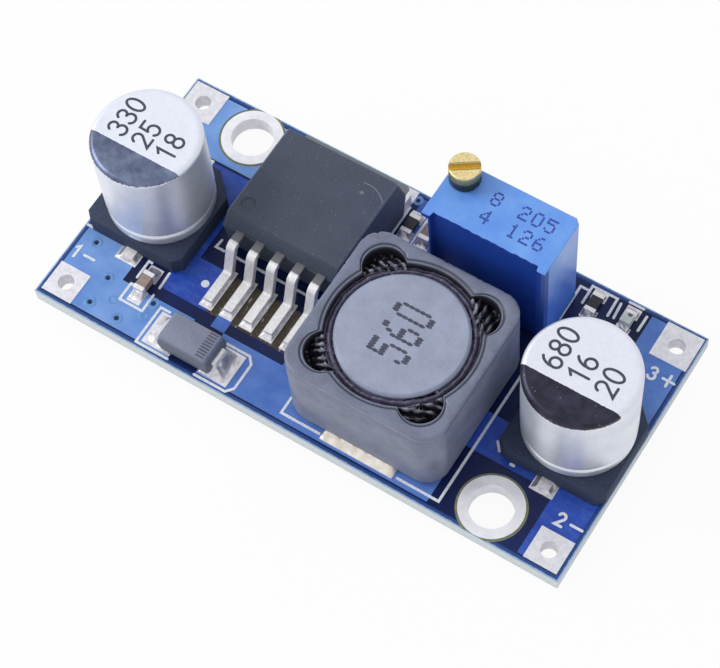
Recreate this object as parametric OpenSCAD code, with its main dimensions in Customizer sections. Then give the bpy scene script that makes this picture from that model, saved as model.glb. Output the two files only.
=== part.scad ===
// Step-down (buck) converter module: a bare circuit board that carries two
// electrolytic capacitors, a switching regulator, a shielded inductor, a
// rectifier diode, a multi-turn trimmer and a few chip parts.
//
// X runs from the input end to the output end, Y from the front edge to the
// back edge and Z up. The origin is on the underside of the board, midway
// between the two mounting holes. On a smaller or larger board the parts move
// together or apart: the gaps of a row share the room that its parts leave.

/* [Board] */
// Length of the board
board_length = 43; // [39:0.5:60]
// Width of the board
board_width = 20.9; // [18.8:0.1:30]
// Thickness of the board
board_t = 1.2; // [0.8:0.1:2.4]
// Thickness of the tinned copper lands on the board
land_t = 0.07; // [0.035:0.005:0.15]
// Thickness of the metal that lines a plated hole
plating_t = 0.04; // [0.02:0.01:0.1]

/* [Mounting holes] */
// Radius of a mounting hole
mount_hole_r = 1.6; // [1.1:0.05:1.8]
// Width of the bare metal ring around a mounting hole
mount_ring_w = 0.72; // [0.3:0.05:0.9]
// A mounting hole further out than midway between the wire's land and the tab
mount_off_mid = 0.04; // [-0.4:0.02:0.4]
// From the mounting ring to the long edge of the board
mount_edge_gap = 0.03; // [0.02:0.01:0.3]

/* [Wire terminals] */
// Radius of the hole for a wire
wire_hole_r = 0.6; // [0.4:0.05:0.9]
// From the end of the board to a wire hole
wire_inset_x = 1.6; // [1.5:0.05:1.9]
// From the long edge of the board to a wire hole
wire_inset_y = 1.67; // [1.5:0.05:2]
// Side of the square land at the front edge
front_land = 2.55; // [2.2:0.05:2.9]
// Side of the square land at the back edge
back_land = 2.85; // [2.2:0.05:2.95]
// Radius of a bare via hole
via_r = 0.2; // [0.1:0.05:0.3]

/* [Electrolytic capacitors] */
// Radius of a can
can_r = 4; // [3:0.1:4.05]
// Height of the can's top over its lands
can_top = 9.88; // [6:0.1:14]
// Radius of the can's top edge
can_edge_r = 0.4; // [0.1:0.05:0.8]
// Radius of the can's rolled bottom edge
can_foot_r = 0.75; // [0.3:0.05:1]
// Height of the crimped groove over the can's bottom
crimp_up = 1.45; // [1.2:0.05:2]
// Radius of the crimped groove's section
crimp_r = 0.5; // [0.2:0.05:0.8]
// Depth of the crimped groove
crimp_deep = 0.14; // [0.05:0.01:0.3]
// Side of the square base plate
base_l = 8.2; // [8.2:0.1:9]
// Height of the base plate
base_h = 1.53; // [1:0.05:2.5]
// Depth of the round seat for the can in the base plate
seat_deep = 0.3; // [0.1:0.05:0.5]
// Cut at the two back corners of the base plate, which marks its polarity
base_cut = 1.8; // [0.5:0.1:2.2]
// Cut at the two front corners of the base plate
base_small_cut = 0.6; // [0.2:0.1:1.5]
// Width of a capacitor's lead
can_lead_w = 0.9; // [0.5:0.05:1.2]
// Thickness of a capacitor's lead
can_lead_t = 0.3; // [0.15:0.05:0.5]
// How far a lead stands out from the base plate
can_lead_out = 0.75; // [0.3:0.05:0.8]
// Half the distance between the two wires where they leave the can
can_wire_half = 1.55; // [1:0.05:2.5]
// Radius of those wires
can_wire_r = 0.3; // [0.15:0.05:0.4]
// Width of a capacitor's land
can_land_w = 1.8; // [1.4:0.1:2]
// Length of a capacitor's land
can_land_l = 3.6; // [3:0.1:4]
// Land that shows past the end of a capacitor's lead
can_land_out = 0.3; // [0.1:0.05:0.35]
// Play between a lead and the groove in the base plate
lead_play = 0.05; // [0.02:0.01:0.1]
// Input capacitor's base from the end of the board
input_edge_gap = 0.2; // [0:0.05:0.6]
// Output capacitor's base from the end of the board
output_edge_gap = 0.05; // [0:0.05:0.6]
// Input capacitor's place across the board
input_can_y = -0.15; // [-0.4:0.05:0.4]
// Output capacitor's land to the mounting ring, across the board
output_ring_gap = 0.18; // [0.1:0.02:1]

/* [Regulator] */
// Length of the moulded case at its parting line
case_l = 10; // [9.4:0.1:10.6]
// Depth of the moulded case at its parting line
case_d = 8.7; // [8:0.1:9.2]
// Height of the case's top over its lands
case_top = 4.43; // [4:0.05:5]
// Height of the parting line and of the leads' middle over the lands
case_split = 2.71; // [2.2:0.05:3]
// How far the case's upper sides lean in
case_draft = 0.4; // [0.1:0.05:0.6]
// How far the case's lower sides lean in
case_under_draft = 0.2; // [0.05:0.05:0.4]
// Radius of the dimple that marks lead one
dimple_r = 0.55; // [0.3:0.05:0.9]
// From the side of the case to the dimple's middle
dimple_in_x = 1.4; // [1:0.05:2]
// From the front of the case to the dimple's middle
dimple_in_y = 1.6; // [1:0.05:2.5]
// Depth of that dimple
dimple_deep = 0.1; // [0.03:0.01:0.3]
// Width of the metal tab
tab_w = 9.6; // [8:0.1:9.6]
// Thickness of the metal tab
tab_t = 1.27; // [0.8:0.01:1.6]
// How far the tab stands out behind the case
tab_out = 1.3; // [0.8:0.05:1.6]
// How far the tab runs in under the case
tab_in = 6.4; // [4:0.1:7]
// Cut at the tab's two back corners
tab_cut = 0.5; // [0.1:0.05:1]
// Input capacitor's base to the regulator's case
can_case_gap = 1.35; // [0.8:0.05:2]
// Land that shows behind the tab
tab_land_out = 0.6; // [0.2:0.05:0.8]
// Tab's land to the back edge of the board
tab_edge_gap = 0.15; // [0.1:0.05:0.5]
// Distance from lead to lead
lead_pitch = 1.7; // [1.5:0.02:1.8]
// Width of a lead
lead_w = 0.72; // [0.5:0.02:0.9]
// Thickness of a lead
lead_t = 0.48; // [0.3:0.02:0.6]
// Length of a lead inside the case
lead_in = 1.4; // [0.8:0.1:2]
// From the case to where a lead turns down
lead_knee = 1.1; // [0.8:0.05:1.3]
// From the case to where a lead turns flat again
lead_heel = 1.95; // [1.8:0.05:2.2]
// From the case to the tip of a lead
lead_reach = 4.67; // [4.2:0.05:5]
// Bend radius of a lead, at its middle
lead_bend_r = 0.45; // [0.3:0.05:0.6]
// Width of a lead's land
lead_land_w = 1.08; // [0.9:0.02:1.2]
// Land that shows past the tip of a lead
lead_land_out = 0.45; // [0.2:0.05:0.6]
// Length of a lead's land
lead_land_l = 3.5; // [3:0.1:4]

/* [Inductor] */
// Side of the square ferrite shield
shield_l = 12.3; // [11.5:0.1:12.9]
// Height of the shield's top over its lands
shield_top = 7.53; // [5:0.1:9]
// Radius of the shield's upright corners
shield_corner_r = 1.7; // [1.4:0.1:3]
// Radius of the shield's top edge
shield_top_r = 0.2; // [0.1:0.05:0.8]
// Radius of the shield's bottom edge
shield_foot_r = 0.3; // [0.1:0.05:0.5]
// Radius of the round opening in the shield
opening_r = 5.25; // [4.9:0.05:5.5]
// Radius of the four corner pockets
pocket_r = 1.5; // [1:0.05:1.6]
// How far a pocket's middle lies from the middle of the shield
pocket_out = 5.15; // [4.9:0.05:5.4]
// Depth of a pocket
pocket_deep = 2.4; // [1:0.1:4]
// Top of the glue in a pocket under the shield's top
glue_low = 0.9; // [0.4:0.1:2]
// Radius of the drum core's discs
drum_r = 4.62; // [4:0.02:4.8]
// Thickness of the drum core's discs
drum_disc_t = 1.2; // [0.8:0.1:2]
// Slope at the edge of the drum core's discs
drum_edge = 0.22; // [0.1:0.02:0.4]
// Radius of the drum core's post
drum_post_r = 2.5; // [1.5:0.1:3]
// Top of the drum core under the shield's top
drum_low = 0.15; // [0:0.05:0.5]
// Radius of the winding's wire
wire_r = 0.3; // [0.15:0.05:0.4]
// Outer radius of the winding
winding_r = 4.2; // [3.4:0.1:4.4]
// Thickness of a terminal plate
plate_t = 0.4; // [0.2:0.05:0.6]
// Width of a terminal plate
plate_w = 5.55; // [4:0.05:6]
// How far a terminal plate runs in under the core
plate_in = 3.4; // [2:0.1:4]
// Terminal plate's end inside the face of the shield
plate_inset = 0.1; // [0:0.02:0.3]
// Width of the notch in a terminal plate's end
plate_notch = 0.45; // [0.2:0.05:0.8]
// Land that shows in front of the shield
plate_land_out = 0.55; // [0.3:0.05:0.6]
// Length of a terminal plate's land
plate_land_l = 2.9; // [2:0.1:3.2]
// Land that shows at each side of a terminal plate
plate_land_side = 0.15; // [0:0.05:0.3]
// Inductor's land to the front edge of the board
shield_edge_gap = 0.63; // [0.4:0.01:1]
// Regulator's case to the inductor
case_shield_gap = 0.85; // [0.5:0.05:2]
// Inductor to the output capacitor's base
shield_can_gap = 1.85; // [1.4:0.05:2]

/* [Diode] */
// Length of the diode's case
diode_l = 4.3; // [3.8:0.05:4.6]
// Width of the diode's case
diode_w = 2.6; // [2.2:0.05:2.9]
// Height of the diode's top over its lands
diode_top = 2.08; // [1.8:0.05:2.6]
// How far the diode's sides lean in
diode_draft = 0.19; // [0.05:0.01:0.3]
// Width of the diode's terminals
diode_strip_w = 1.45; // [1:0.05:2]
// Thickness of the diode's terminals
diode_strip_t = 0.2; // [0.1:0.02:0.3]
// How far a terminal stands out from the case
diode_strip_out = 0.35; // [0.25:0.02:0.45]
// How far a terminal's foot runs in under the case
diode_foot_in = 0.85; // [0.5:0.05:1.2]
// How far a terminal runs in inside the case
diode_strip_in = 0.5; // [0.3:0.05:0.8]
// Length of the diode's lands
diode_land_l = 2.4; // [2:0.05:2.6]
// Width of the diode's lands
diode_land_w = 2.69; // [2.2:0.01:2.8]
// Outer ends of the diode's two lands, from end to end
diode_land_span = 7.17; // [6.6:0.05:7.4]
// Diode's lands to the front edge of the board
diode_edge_gap = 0.56; // [0.4:0.02:0.9]
// Diode's lands to the lands of the regulator's leads
diode_lead_gap = 1.78; // [1:0.02:2.5]
// Diode's middle to the left of the regulator's middle
diode_left = 2.22; // [1.8:0.02:2.6]

/* [Trimmer] */
// Length of the trimmer's housing
trim_l = 9.53; // [9:0.05:10]
// Depth of the trimmer's housing
trim_d = 4.83; // [4.7:0.05:5.1]
// Height of the trimmer's housing
trim_h = 10; // [9.4:0.1:12]
// Height of the feet under the housing
trim_foot_h = 0.2; // [0.1:0.05:0.4]
// From the ends of the housing to its feet
foot_in = 0.5; // [0.4:0.05:0.9]
// Side of a foot
foot_side = 0.35; // [0.2:0.05:0.5]
// From the ends of the housing to the panel in its front face
panel_in = 0.65; // [0.5:0.05:1]
// Depth of the shallow panel in the front face
panel_deep = 0.4; // [0.1:0.05:0.6]
// Lip of the housing's top at the screw end
lip_out = 0.5; // [0.2:0.05:0.7]
// Thickness of that lip
lip_t = 0.45; // [0.3:0.05:0.8]
// Length of the notch under the lip, across the housing
lip_notch = 1.2; // [0.6:0.05:1.3]
// Slope at the housing's back corner, away from the screw
trim_chamfer = 0.35; // [0.1:0.05:0.6]
// Screw's middle from the end of the housing
screw_in_x = 1.2; // [1.15:0.01:1.35]
// Screw's middle from the back of the housing
screw_in_y = 1.12; // [1.1:0.01:1.3]
// Radius of the screw's head
head_r = 1.117; // [0.9:0.01:1.2]
// Height of the screw's head over the housing
head_h = 1.6; // [1:0.05:2.2]
// Width of the slot for a screwdriver
slot_w = 0.42; // [0.3:0.02:0.6]
// Depth of that slot
slot_deep = 0.6; // [0.3:0.05:0.9]
// Direction of the slot from the housing's length
slot_turn = 33.5; // [0:0.5:180]
// Length of the screw's plain bearings
bearing_l = 0.8; // [0.6:0.05:1]
// Height of the screw's lower end in the housing
screw_foot = 1; // [0.9:0.05:1.2]
// Step from the worm's core to the plain shaft
shaft_step = 0.1; // [0.05:0.01:0.15]
// Thickness of the rubber seal ring on the screw
ring_t = 0.3; // [0.2:0.02:0.4]
// Play under the screw's head
head_play = 0.04; // [0.02:0.01:0.1]
// Play around the screw, the gear and their bearings
running_play = 0.05; // [0.03:0.01:0.08]
// Teeth of the gear, which is how many turns of the screw turn it once
gear_teeth = 33; // [30:1:36]
// Distance along the worm from thread to thread
worm_pitch = 0.56; // [0.54:0.01:0.58]
// Turns of thread on the worm
worm_turns = 6; // [4:1:7]
// Radius of the worm at its threads
worm_r = 0.8; // [0.76:0.01:0.82]
// Height of a thread, and of a gear tooth
thread_h = 0.3; // [0.26:0.01:0.32]
// Width of a thread or tooth at its tip
thread_tip = 0.12; // [0.1:0.01:0.14]
// Width of a thread or tooth at its root
thread_root = 0.26; // [0.24:0.01:0.27]
// Play between the gear and the worm, and around the gear
mesh_play = 0.06; // [0.05:0.01:0.08]
// Thickness of the gear
gear_t = 1; // [0.7:0.05:1.1]
// Radius of the pin that the gear turns on
gear_pin_r = 0.75; // [0.5:0.05:1]
// Thickness of the resistor plate
element_t = 0.6; // [0.4:0.05:0.7]
// Thickness of the resistor track
track_t = 0.05; // [0.03:0.01:0.08]
// Radius to the middle of the resistor track
track_r = 2.2; // [2:0.05:2.4]
// Width of the resistor track
track_w = 0.5; // [0.4:0.05:0.7]
// Radius of the wiper's hub
wiper_hub_r = 1.5; // [1.2:0.05:1.8]
// Width of the wiper's arm
wiper_arm_w = 0.6; // [0.4:0.05:0.8]
// Radius of the wiper's contact
wiper_tip_r = 0.2; // [0.1:0.02:0.25]
// Thickness of the wiper's spring plate
wiper_t = 0.15; // [0.1:0.01:0.2]
// Thickness of the seal under the trimmer
seal_t = 0.9; // [0.6:0.05:1.2]
// Distance from pin to pin
pin_pitch = 2.54; // [2.4:0.02:2.6]
// Radius of a pin
pin_r = 0.255; // [0.2:0.005:0.28]
// How far a pin stands out under the board
pin_out = 1.2; // [0.9:0.05:1.6]
// How far a pin runs up into the housing
pin_up = 1.7; // [1.3:0.05:1.8]
// Radius of the plated hole for a pin
pin_hole_r = 0.42; // [0.36:0.02:0.5]
// Width of the land around a pin
pin_ring_w = 0.45; // [0.3:0.02:0.5]
// Height of the solder cone under the board
solder_h = 0.8; // [0.5:0.05:0.85]
// Trimmer to the inductor's land
trim_land_gap = 0.57; // [0.3:0.01:1]
// Trimmer to the back edge of the board
trim_edge_gap = 1.47; // [1.2:0.01:1.6]
// Trimmer's middle to the right of the inductor's middle
trim_right = 1.87; // [1.6:0.01:2.1]

/* [Chip parts] */
// Length of a chip part
chip_l = 1.6; // [1.5:0.05:1.7]
// Width of a chip part
chip_w = 0.8; // [0.7:0.02:0.9]
// Length of a chip part's metal ends
chip_end_l = 0.32; // [0.2:0.02:0.45]
// Thickness of that metal
chip_end_t = 0.02; // [0.01:0.005:0.04]
// Height of a chip capacitor
chip_capacitor_h = 0.72; // [0.6:0.02:0.9]
// Height of a chip resistor
chip_resistor_h = 0.45; // [0.35:0.02:0.55]
// Height of the light's base
light_base_h = 0.28; // [0.2:0.02:0.4]
// Height of the light's lens
lens_h = 0.4; // [0.3:0.02:0.5]
// Length of the light's lens
lens_l = 0.92; // [0.7:0.02:0.94]
// How far the lens's ends lean in
lens_draft = 0.06; // [0.02:0.01:0.12]
// Width of a chip part's land
chip_land_w = 1.1; // [0.95:0.05:1.2]
// Length of a chip part's land
chip_land_l = 0.85; // [0.7:0.05:0.95]
// Length of the ceramic capacitor's lands, which are larger
ceramic_land_l = 1.22; // [0.9:0.02:1.3]
// Gap between the two lands of a chip part
chip_land_gap = 0.8; // [0.6:0.05:0.9]
// First feedback chip to the right of the regulator's case
chip_right = 0.72; // [0.7:0.02:0.8]
// From the first feedback chip to the second
chip_step = 1.5; // [1.4:0.05:1.6]
// Feedback chips' middle from the back edge of the board
chip_back = 2.85; // [2.6:0.05:3.2]
// The light's resistor to the right of the trimmer
light_resistor_right = 1.5; // [1.2:0.05:1.7]
// From the light's resistor to the light
light_step = 2.6; // [2.2:0.05:2.7]
// The light and its resistor from the back edge of the board
light_back = 1.75; // [1.7:0.05:1.9]
// Ceramic capacitor to the right of the input capacitor's middle
ceramic_right = 2.37; // [2.2:0.05:2.5]
// Ceramic capacitor in front of the input capacitor's base
ceramic_front = 1.85; // [1.8:0.05:2]

/* [Hidden] */

$fn = 64;
eps = 0.01;                 // overlap that makes a cut run clean through
bend_steps = 5;             // flats in each bend of a strip
worm_facets = 16;           // steps of the worm's thread in one turn

// Heights
land_z = board_t + land_t;
can_floor = base_h - seat_deep;
trim_z = board_t + trim_foot_h;

// How far a capacitor's land reaches from its middle
can_land_reach = base_l / 2 + can_lead_out + can_land_out;

end_x = board_length / 2;
side_y = board_width / 2;

// The row of tall parts along the board, and the two rows across it. The gaps
// of a row are as stated where they fill the board, and else close or open alike.
row_ease = (board_length - 2 * base_l - case_l - shield_l)
    / (input_edge_gap + can_case_gap + case_shield_gap + shield_can_gap + output_edge_gap);
shield_column_ease = (board_width - shield_l - 2 * plate_land_out - trim_d)
    / (shield_edge_gap + trim_land_gap + trim_edge_gap);
case_column_ease = (board_width - diode_land_w - lead_land_out - lead_reach - case_d - tab_out - tab_land_out)
    / (diode_edge_gap + diode_lead_gap + tab_edge_gap);

// Places on the board
input_can_x = row_ease * input_edge_gap + base_l / 2 - end_x;
case_x = input_can_x + base_l / 2 + row_ease * can_case_gap + case_l / 2;
shield_x = case_x + case_l / 2 + row_ease * case_shield_gap + shield_l / 2;
output_can_x = end_x - row_ease * output_edge_gap - base_l / 2;
tab_land_back = side_y - case_column_ease * tab_edge_gap;
case_back = tab_land_back - tab_land_out - tab_out;
case_front = case_back - case_d;
case_y = case_back - case_d / 2;
shield_y = shield_column_ease * shield_edge_gap + plate_land_out + shield_l / 2 - side_y;
diode_x = case_x - diode_left;
diode_y = case_column_ease * diode_edge_gap + diode_land_w / 2 - side_y;
trim_x = shield_x + trim_right;
trim_y = side_y - shield_column_ease * trim_edge_gap - trim_d / 2;
lead_land_y = case_front - lead_reach - lead_land_out + lead_land_l / 2;
plate_land_y = shield_l / 2 + plate_land_out - plate_land_l / 2;
wire_x = end_x - wire_inset_x;
wire_y = side_y - wire_inset_y;
mount_ring_r = mount_hole_r + mount_ring_w;
mount_x = (wire_x - back_land / 2 + tab_w / 2 - case_x) / 2 + mount_off_mid;
mount_y = side_y - mount_edge_gap - mount_ring_r;
mount_at = [[mount_x, -mount_y], [-mount_x, mount_y]];
output_can_y = can_land_reach + output_ring_gap + mount_ring_r - mount_y;
feedback_y = side_y - chip_back;
feedback_resistor_x = case_x + case_l / 2 + chip_right;
feedback_capacitor_x = feedback_resistor_x + chip_step;
light_y = side_y - light_back;
light_resistor_x = trim_x + trim_l / 2 + light_resistor_right;
light_x = light_resistor_x + light_step;
ceramic_x = input_can_x + ceramic_right;
ceramic_y = input_can_y - base_l / 2 - ceramic_front;

// Chip parts: where each stands, and the length of its two lands
chips_at = [[feedback_resistor_x, feedback_y, chip_land_l], [feedback_capacitor_x, feedback_y, chip_land_l],
    [light_resistor_x, light_y, chip_land_l], [light_x, light_y, chip_land_l],
    [ceramic_x, ceramic_y, ceramic_land_l]];

// Inside the inductor and the diode
shield_h = shield_top - plate_t;
drum_h = shield_h - drum_low;
pocket_at = [for (a = [45:90:315]) pocket_out * [cos(a), sin(a)]];
diode_split = diode_top / 2;
diode_bend_x = diode_strip_t / 2 - diode_l / 2 - diode_strip_out;
diode_bend_r = 0.75 * diode_strip_t;

// Bare vias beside the input terminal, from the board's front left corner
via_at = [for (v = [[1.6, 5.45], [4, 3.5], [4, 1.25], [6.4, 1.15], [8, 3.45]]) v - [end_x, side_y]];

// Inside the trimmer, from the front left bottom corner of its housing
pin_y = trim_d / 2;
screw_y = trim_d - screw_in_y;
worm_core_r = worm_r - thread_h;
shaft_r = worm_core_r - shaft_step;
mesh_depth = thread_h / 2;
gear_pitch_r = gear_teeth * worm_pitch / (2 * PI);
gear_root_r = gear_pitch_r - mesh_depth - mesh_play / 2;
gear_tip_r = gear_pitch_r + mesh_depth - mesh_play / 2;
gear_x = screw_in_x + worm_r - mesh_depth + gear_pitch_r + mesh_play / 2;
gear_z = trim_h / 2;
gear_front = screw_y - gear_t / 2;
chamber_r = gear_tip_r + mesh_play;
chamber_back = screw_y + gear_t / 2 + mesh_play;
element_back = pin_y - pin_r;
worm_l = worm_turns * worm_pitch;
gear_bore_r = gear_pin_r + running_play;
ring_in_r = worm_r - ring_t + running_play;
ring_section_r = ring_t / 2 - head_play / 4;

// ---------------------------------------------------------------- helpers

module plate(l, w, t) translate([-l / 2, -w / 2, 0]) cube([l, w, t]);

// Takes leg off both sides of a square corner at the origin
module corner_cut(leg) rotate(45) square(leg * sqrt(2), center = true);

module tube(r_out, r_in, h) difference() {
    cylinder(r = r_out, h = h);
    translate([0, 0, -eps]) cylinder(r = r_in, h = h + 2 * eps);
}

// A plated hole: a land on each face of the board, joined through the hole.
// The children are the outline of the land.
module plated_hole(hole_r) difference() {
    union() {
        translate([0, 0, -land_t]) linear_extrude(land_t) children();
        translate([0, 0, board_t]) linear_extrude(land_t) children();
        cylinder(r = hole_r + plating_t, h = board_t);
    }
    translate([0, 0, -land_t - eps]) cylinder(r = hole_r, h = board_t + 2 * (land_t + eps));
}

// The outline of one side of a turned or straight edge, rounded top and bottom
module edge_profile(half, h, top_r, foot_r) {
    square([half - max(top_r, foot_r), h]);
    translate([0, foot_r]) square([half, h - top_r - foot_r]);
    translate([0, h - top_r]) square([half - top_r, top_r]);
    square([half - foot_r, foot_r]);
    translate([half - top_r, h - top_r]) circle(top_r);
    translate([half - foot_r, foot_r]) circle(foot_r);
}

// A square block with round upright corners and rounded top and bottom edges
module rounded_block(l, h, corner_r, top_r, foot_r) {
    for (turn = [0:90:270]) rotate([0, 0, turn]) {
        rotate([90, 0, 0]) linear_extrude(l - 2 * corner_r, center = true)
            edge_profile(l / 2, h, top_r, foot_r);
        translate([l / 2 - corner_r, l / 2 - corner_r, 0]) rotate_extrude()
            edge_profile(corner_r, h, top_r, foot_r);
    }
}

// A block whose four sides lean in by draft[0] along X and draft[1] along Y over its height
module leaning_block(l, w, h, draft) {
    ring = [[-1, -1], [1, -1], [1, 1], [-1, 1]];
    polyhedron(
        [for (q = ring) [q[0] * l / 2, q[1] * w / 2, 0],
         for (q = ring) [q[0] * (l / 2 - draft[0]), q[1] * (w / 2 - draft[1]), h]],
        [[0, 1, 2, 3], [7, 6, 5, 4], for (i = [0:3]) [i, i + 4, (i + 1) % 4 + 4, (i + 1) % 4]]);
}

// A moulded case: sides that lean in above and below the parting line
module moulded_case(l, w, foot, split, top, draft, under) translate([0, 0, split]) {
    leaning_block(l, w, top - split, [draft, draft]);
    mirror([0, 0, 1]) leaning_block(l, w, split - foot, [under, under]);
}

// A bent strip. Its middle line runs through pts, [along, up], and turns each
// inner corner on an arc of radius r. Each entry of a line is [point, heading].
function left_of(d) = [-d[1], d[0]];
function turned(d, a) = [d[0] * cos(a) - d[1] * sin(a), d[0] * sin(a) + d[1] * cos(a)];
function corner(p, d, next, r) =
    let (a = atan2(d[0] * next[1] - d[1] * next[0], d * next),
         centre = p - r * tan(abs(a) / 2) * d + sign(a) * r * left_of(d))
    [for (k = [0:bend_steps]) let (t = turned(d, a * k / bend_steps))
        [centre - sign(a) * r * left_of(t), t]];
function bent_line(pts, r) =
    let (last = len(pts) - 1,
         d = [for (i = [1:last]) (pts[i] - pts[i - 1]) / norm(pts[i] - pts[i - 1])])
    [[pts[0], d[0]],
     for (i = [1:last - 1]) each corner(pts[i], d[i - 1], d[i], r),
     [pts[last], d[last - 1]]];
module bent_strip(pts, t, w, r) {
    line = bent_line(pts, r);
    rotate([90, 0, 90]) linear_extrude(w, center = true) polygon([
        for (q = line) q[0] + t / 2 * left_of(q[1]),
        for (i = [len(line) - 1:-1:0]) line[i][0] - t / 2 * left_of(line[i][1])]);
}

// ------------------------------------------------------------------ board

module circuit_board() color([0.1, 0.28, 0.68]) difference() {
    plate(board_length, board_width, board_t);
    for (at = mount_at) board_hole(at, mount_hole_r + plating_t);
    for (sx = [-1, 1], sy = [-1, 1]) board_hole([sx * wire_x, sy * wire_y], wire_hole_r + plating_t);
    for (at = via_at) board_hole(at, via_r);
    trimmer_place(0) for (k = [-1:1])
        board_hole([trim_l / 2 + k * pin_pitch, pin_y], pin_hole_r + plating_t);
}

module board_hole(at, r) translate([at[0], at[1], -eps]) cylinder(r = r, h = board_t + 2 * eps);

module mounting_rings() color([0.86, 0.87, 0.88])
    for (at = mount_at) translate(at) plated_hole(mount_hole_r) circle(mount_ring_r);

module wire_terminals() color([0.86, 0.87, 0.88])
    for (sx = [-1, 1], sy = [-1, 1]) translate([sx * wire_x, sy * wire_y])
        plated_hole(wire_hole_r) square(sy < 0 ? front_land : back_land, center = true);

module trimmer_hole_rings() color([0.86, 0.87, 0.88])
    trimmer_place(0) for (k = [-1:1]) translate([trim_l / 2 + k * pin_pitch, pin_y])
        plated_hole(pin_hole_r) circle(pin_hole_r + pin_ring_w);

module land(x, y, l, w) translate([x, y, board_t]) plate(l, w, land_t);

module solder_lands() color([0.82, 0.83, 0.85]) {
    for (at = [[input_can_x, input_can_y], [output_can_x, output_can_y]], sy = [-1, 1])
        land(at[0], at[1] + sy * (can_land_reach - can_land_l / 2), can_land_w, can_land_l);
    for (k = [-2:2]) land(case_x + k * lead_pitch, lead_land_y, lead_land_w, lead_land_l);
    land(case_x, (case_back - tab_in + tab_land_back) / 2, tab_w, tab_land_back - case_back + tab_in);
    for (sy = [-1, 1]) land(shield_x, shield_y + sy * plate_land_y, plate_w + 2 * plate_land_side,
        plate_land_l);
    for (sx = [-1, 1]) land(diode_x + sx * (diode_land_span - diode_land_l) / 2, diode_y,
        diode_land_l, diode_land_w);
    for (at = chips_at, sy = [-1, 1])
        land(at[0], at[1] + sy * (chip_land_gap + at[2]) / 2, chip_land_w, at[2]);
}

// ------------------------------------------------ electrolytic capacitors

module can() translate([0, 0, land_z + can_floor]) rotate_extrude() difference() {
    edge_profile(can_r, can_top - can_floor, can_edge_r, can_foot_r);
    translate([can_r - crimp_deep + crimp_r, crimp_up]) circle(crimp_r);
}

// The two leads, grown all round by play where the base plate is cut for them
module can_leads(play = 0) for (sy = [-1, 1]) {
    out = base_l / 2 + can_lead_out;
    translate([0, sy * (out + can_wire_half - can_wire_r) / 2, land_z])
        plate(can_lead_w + 2 * play, out - can_wire_half + can_wire_r + 2 * play, can_lead_t);
    translate([0, sy * can_wire_half, land_z]) cylinder(r = can_wire_r + play, h = can_floor + play);
}

module can_base() difference() {
    translate([0, 0, land_z]) linear_extrude(base_h) difference() {
        square(base_l, center = true);
        for (sx = [-1, 1]) {
            translate([sx * base_l / 2, base_l / 2]) corner_cut(base_cut);
            translate([sx * base_l / 2, -base_l / 2]) corner_cut(base_small_cut);
        }
    }
    translate([0, 0, land_z + can_floor]) cylinder(r = can_r, h = seat_deep + eps);
    can_leads(lead_play);
}

module input_place() translate([input_can_x, input_can_y, 0]) children();
module output_place() translate([output_can_x, output_can_y, 0]) children();
module input_capacitor_can() color([0.83, 0.84, 0.87]) input_place() can();
module input_capacitor_base() color([0.12, 0.12, 0.13]) input_place() can_base();
module input_capacitor_leads() color([0.8, 0.8, 0.82]) input_place() can_leads();
module output_capacitor_can() color([0.83, 0.84, 0.87]) output_place() can();
module output_capacitor_base() color([0.12, 0.12, 0.13]) output_place() can_base();
module output_capacitor_leads() color([0.8, 0.8, 0.82]) output_place() can_leads();

// -------------------------------------------------------------- regulator

module regulator_leads() color([0.82, 0.82, 0.83]) for (k = [-2:2])
    translate([case_x + k * lead_pitch, case_front, land_z]) bent_strip([
        [lead_in, case_split], [-lead_knee, case_split],
        [-lead_heel, lead_t / 2], [-lead_reach, lead_t / 2]], lead_t, lead_w, lead_bend_r);

module regulator_tab() color([0.78, 0.78, 0.8]) translate([case_x, 0, land_z]) linear_extrude(tab_t)
    difference() {
        translate([-tab_w / 2, case_back - tab_in]) square([tab_w, tab_in + tab_out]);
        for (sx = [-1, 1]) translate([sx * tab_w / 2, case_back + tab_out]) corner_cut(tab_cut);
    }

module regulator_case() color([0.24, 0.25, 0.28]) difference() {
    translate([case_x, case_y, land_z])
        moulded_case(case_l, case_d, 0, case_split, case_top, case_draft, case_under_draft);
    translate([case_x - case_l / 2 + dimple_in_x, case_front + dimple_in_y, land_z + case_top - dimple_deep])
        cylinder(r = dimple_r, h = dimple_deep + eps);
    regulator_leads();
    regulator_tab();
}

// --------------------------------------------------------------- inductor

module shield_place(z = 0) translate([shield_x, shield_y, land_z + z]) children();

module inductor_shield() color([0.42, 0.42, 0.46]) shield_place(plate_t) difference() {
    rounded_block(shield_l, shield_h, shield_corner_r, shield_top_r, shield_foot_r);
    translate([0, 0, -eps]) cylinder(r = opening_r, h = shield_h + 2 * eps);
    for (at = pocket_at) translate([at[0], at[1], shield_h - pocket_deep])
        cylinder(r = pocket_r, h = pocket_deep + eps);
}

module inductor_drum() color([0.52, 0.53, 0.58]) shield_place(plate_t) rotate_extrude() polygon([
    [0, 0], [drum_r - drum_edge, 0], [drum_r, drum_edge], [drum_r, drum_disc_t],
    [drum_post_r, drum_disc_t], [drum_post_r, drum_h - drum_disc_t],
    [drum_r, drum_h - drum_disc_t], [drum_r, drum_h - drum_edge], [drum_r - drum_edge, drum_h], [0, drum_h]]);

// The turns of wire between the drum's discs, one solid with a ridge for each turn
module inductor_winding() color([0.72, 0.4, 0.2]) shield_place(plate_t + drum_disc_t) {
    room = drum_h - 2 * drum_disc_t;
    rows = floor(room / (2 * wire_r));
    rotate_extrude() intersection() {
        translate([drum_post_r, 0]) square([winding_r - drum_post_r, room]);
        union() {
            translate([drum_post_r, 0]) square([winding_r - wire_r - drum_post_r, room]);
            for (i = [0:rows - 1])
                translate([winding_r - wire_r, (i + 0.5) * room / rows]) circle(wire_r);
        }
    }
}

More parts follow.
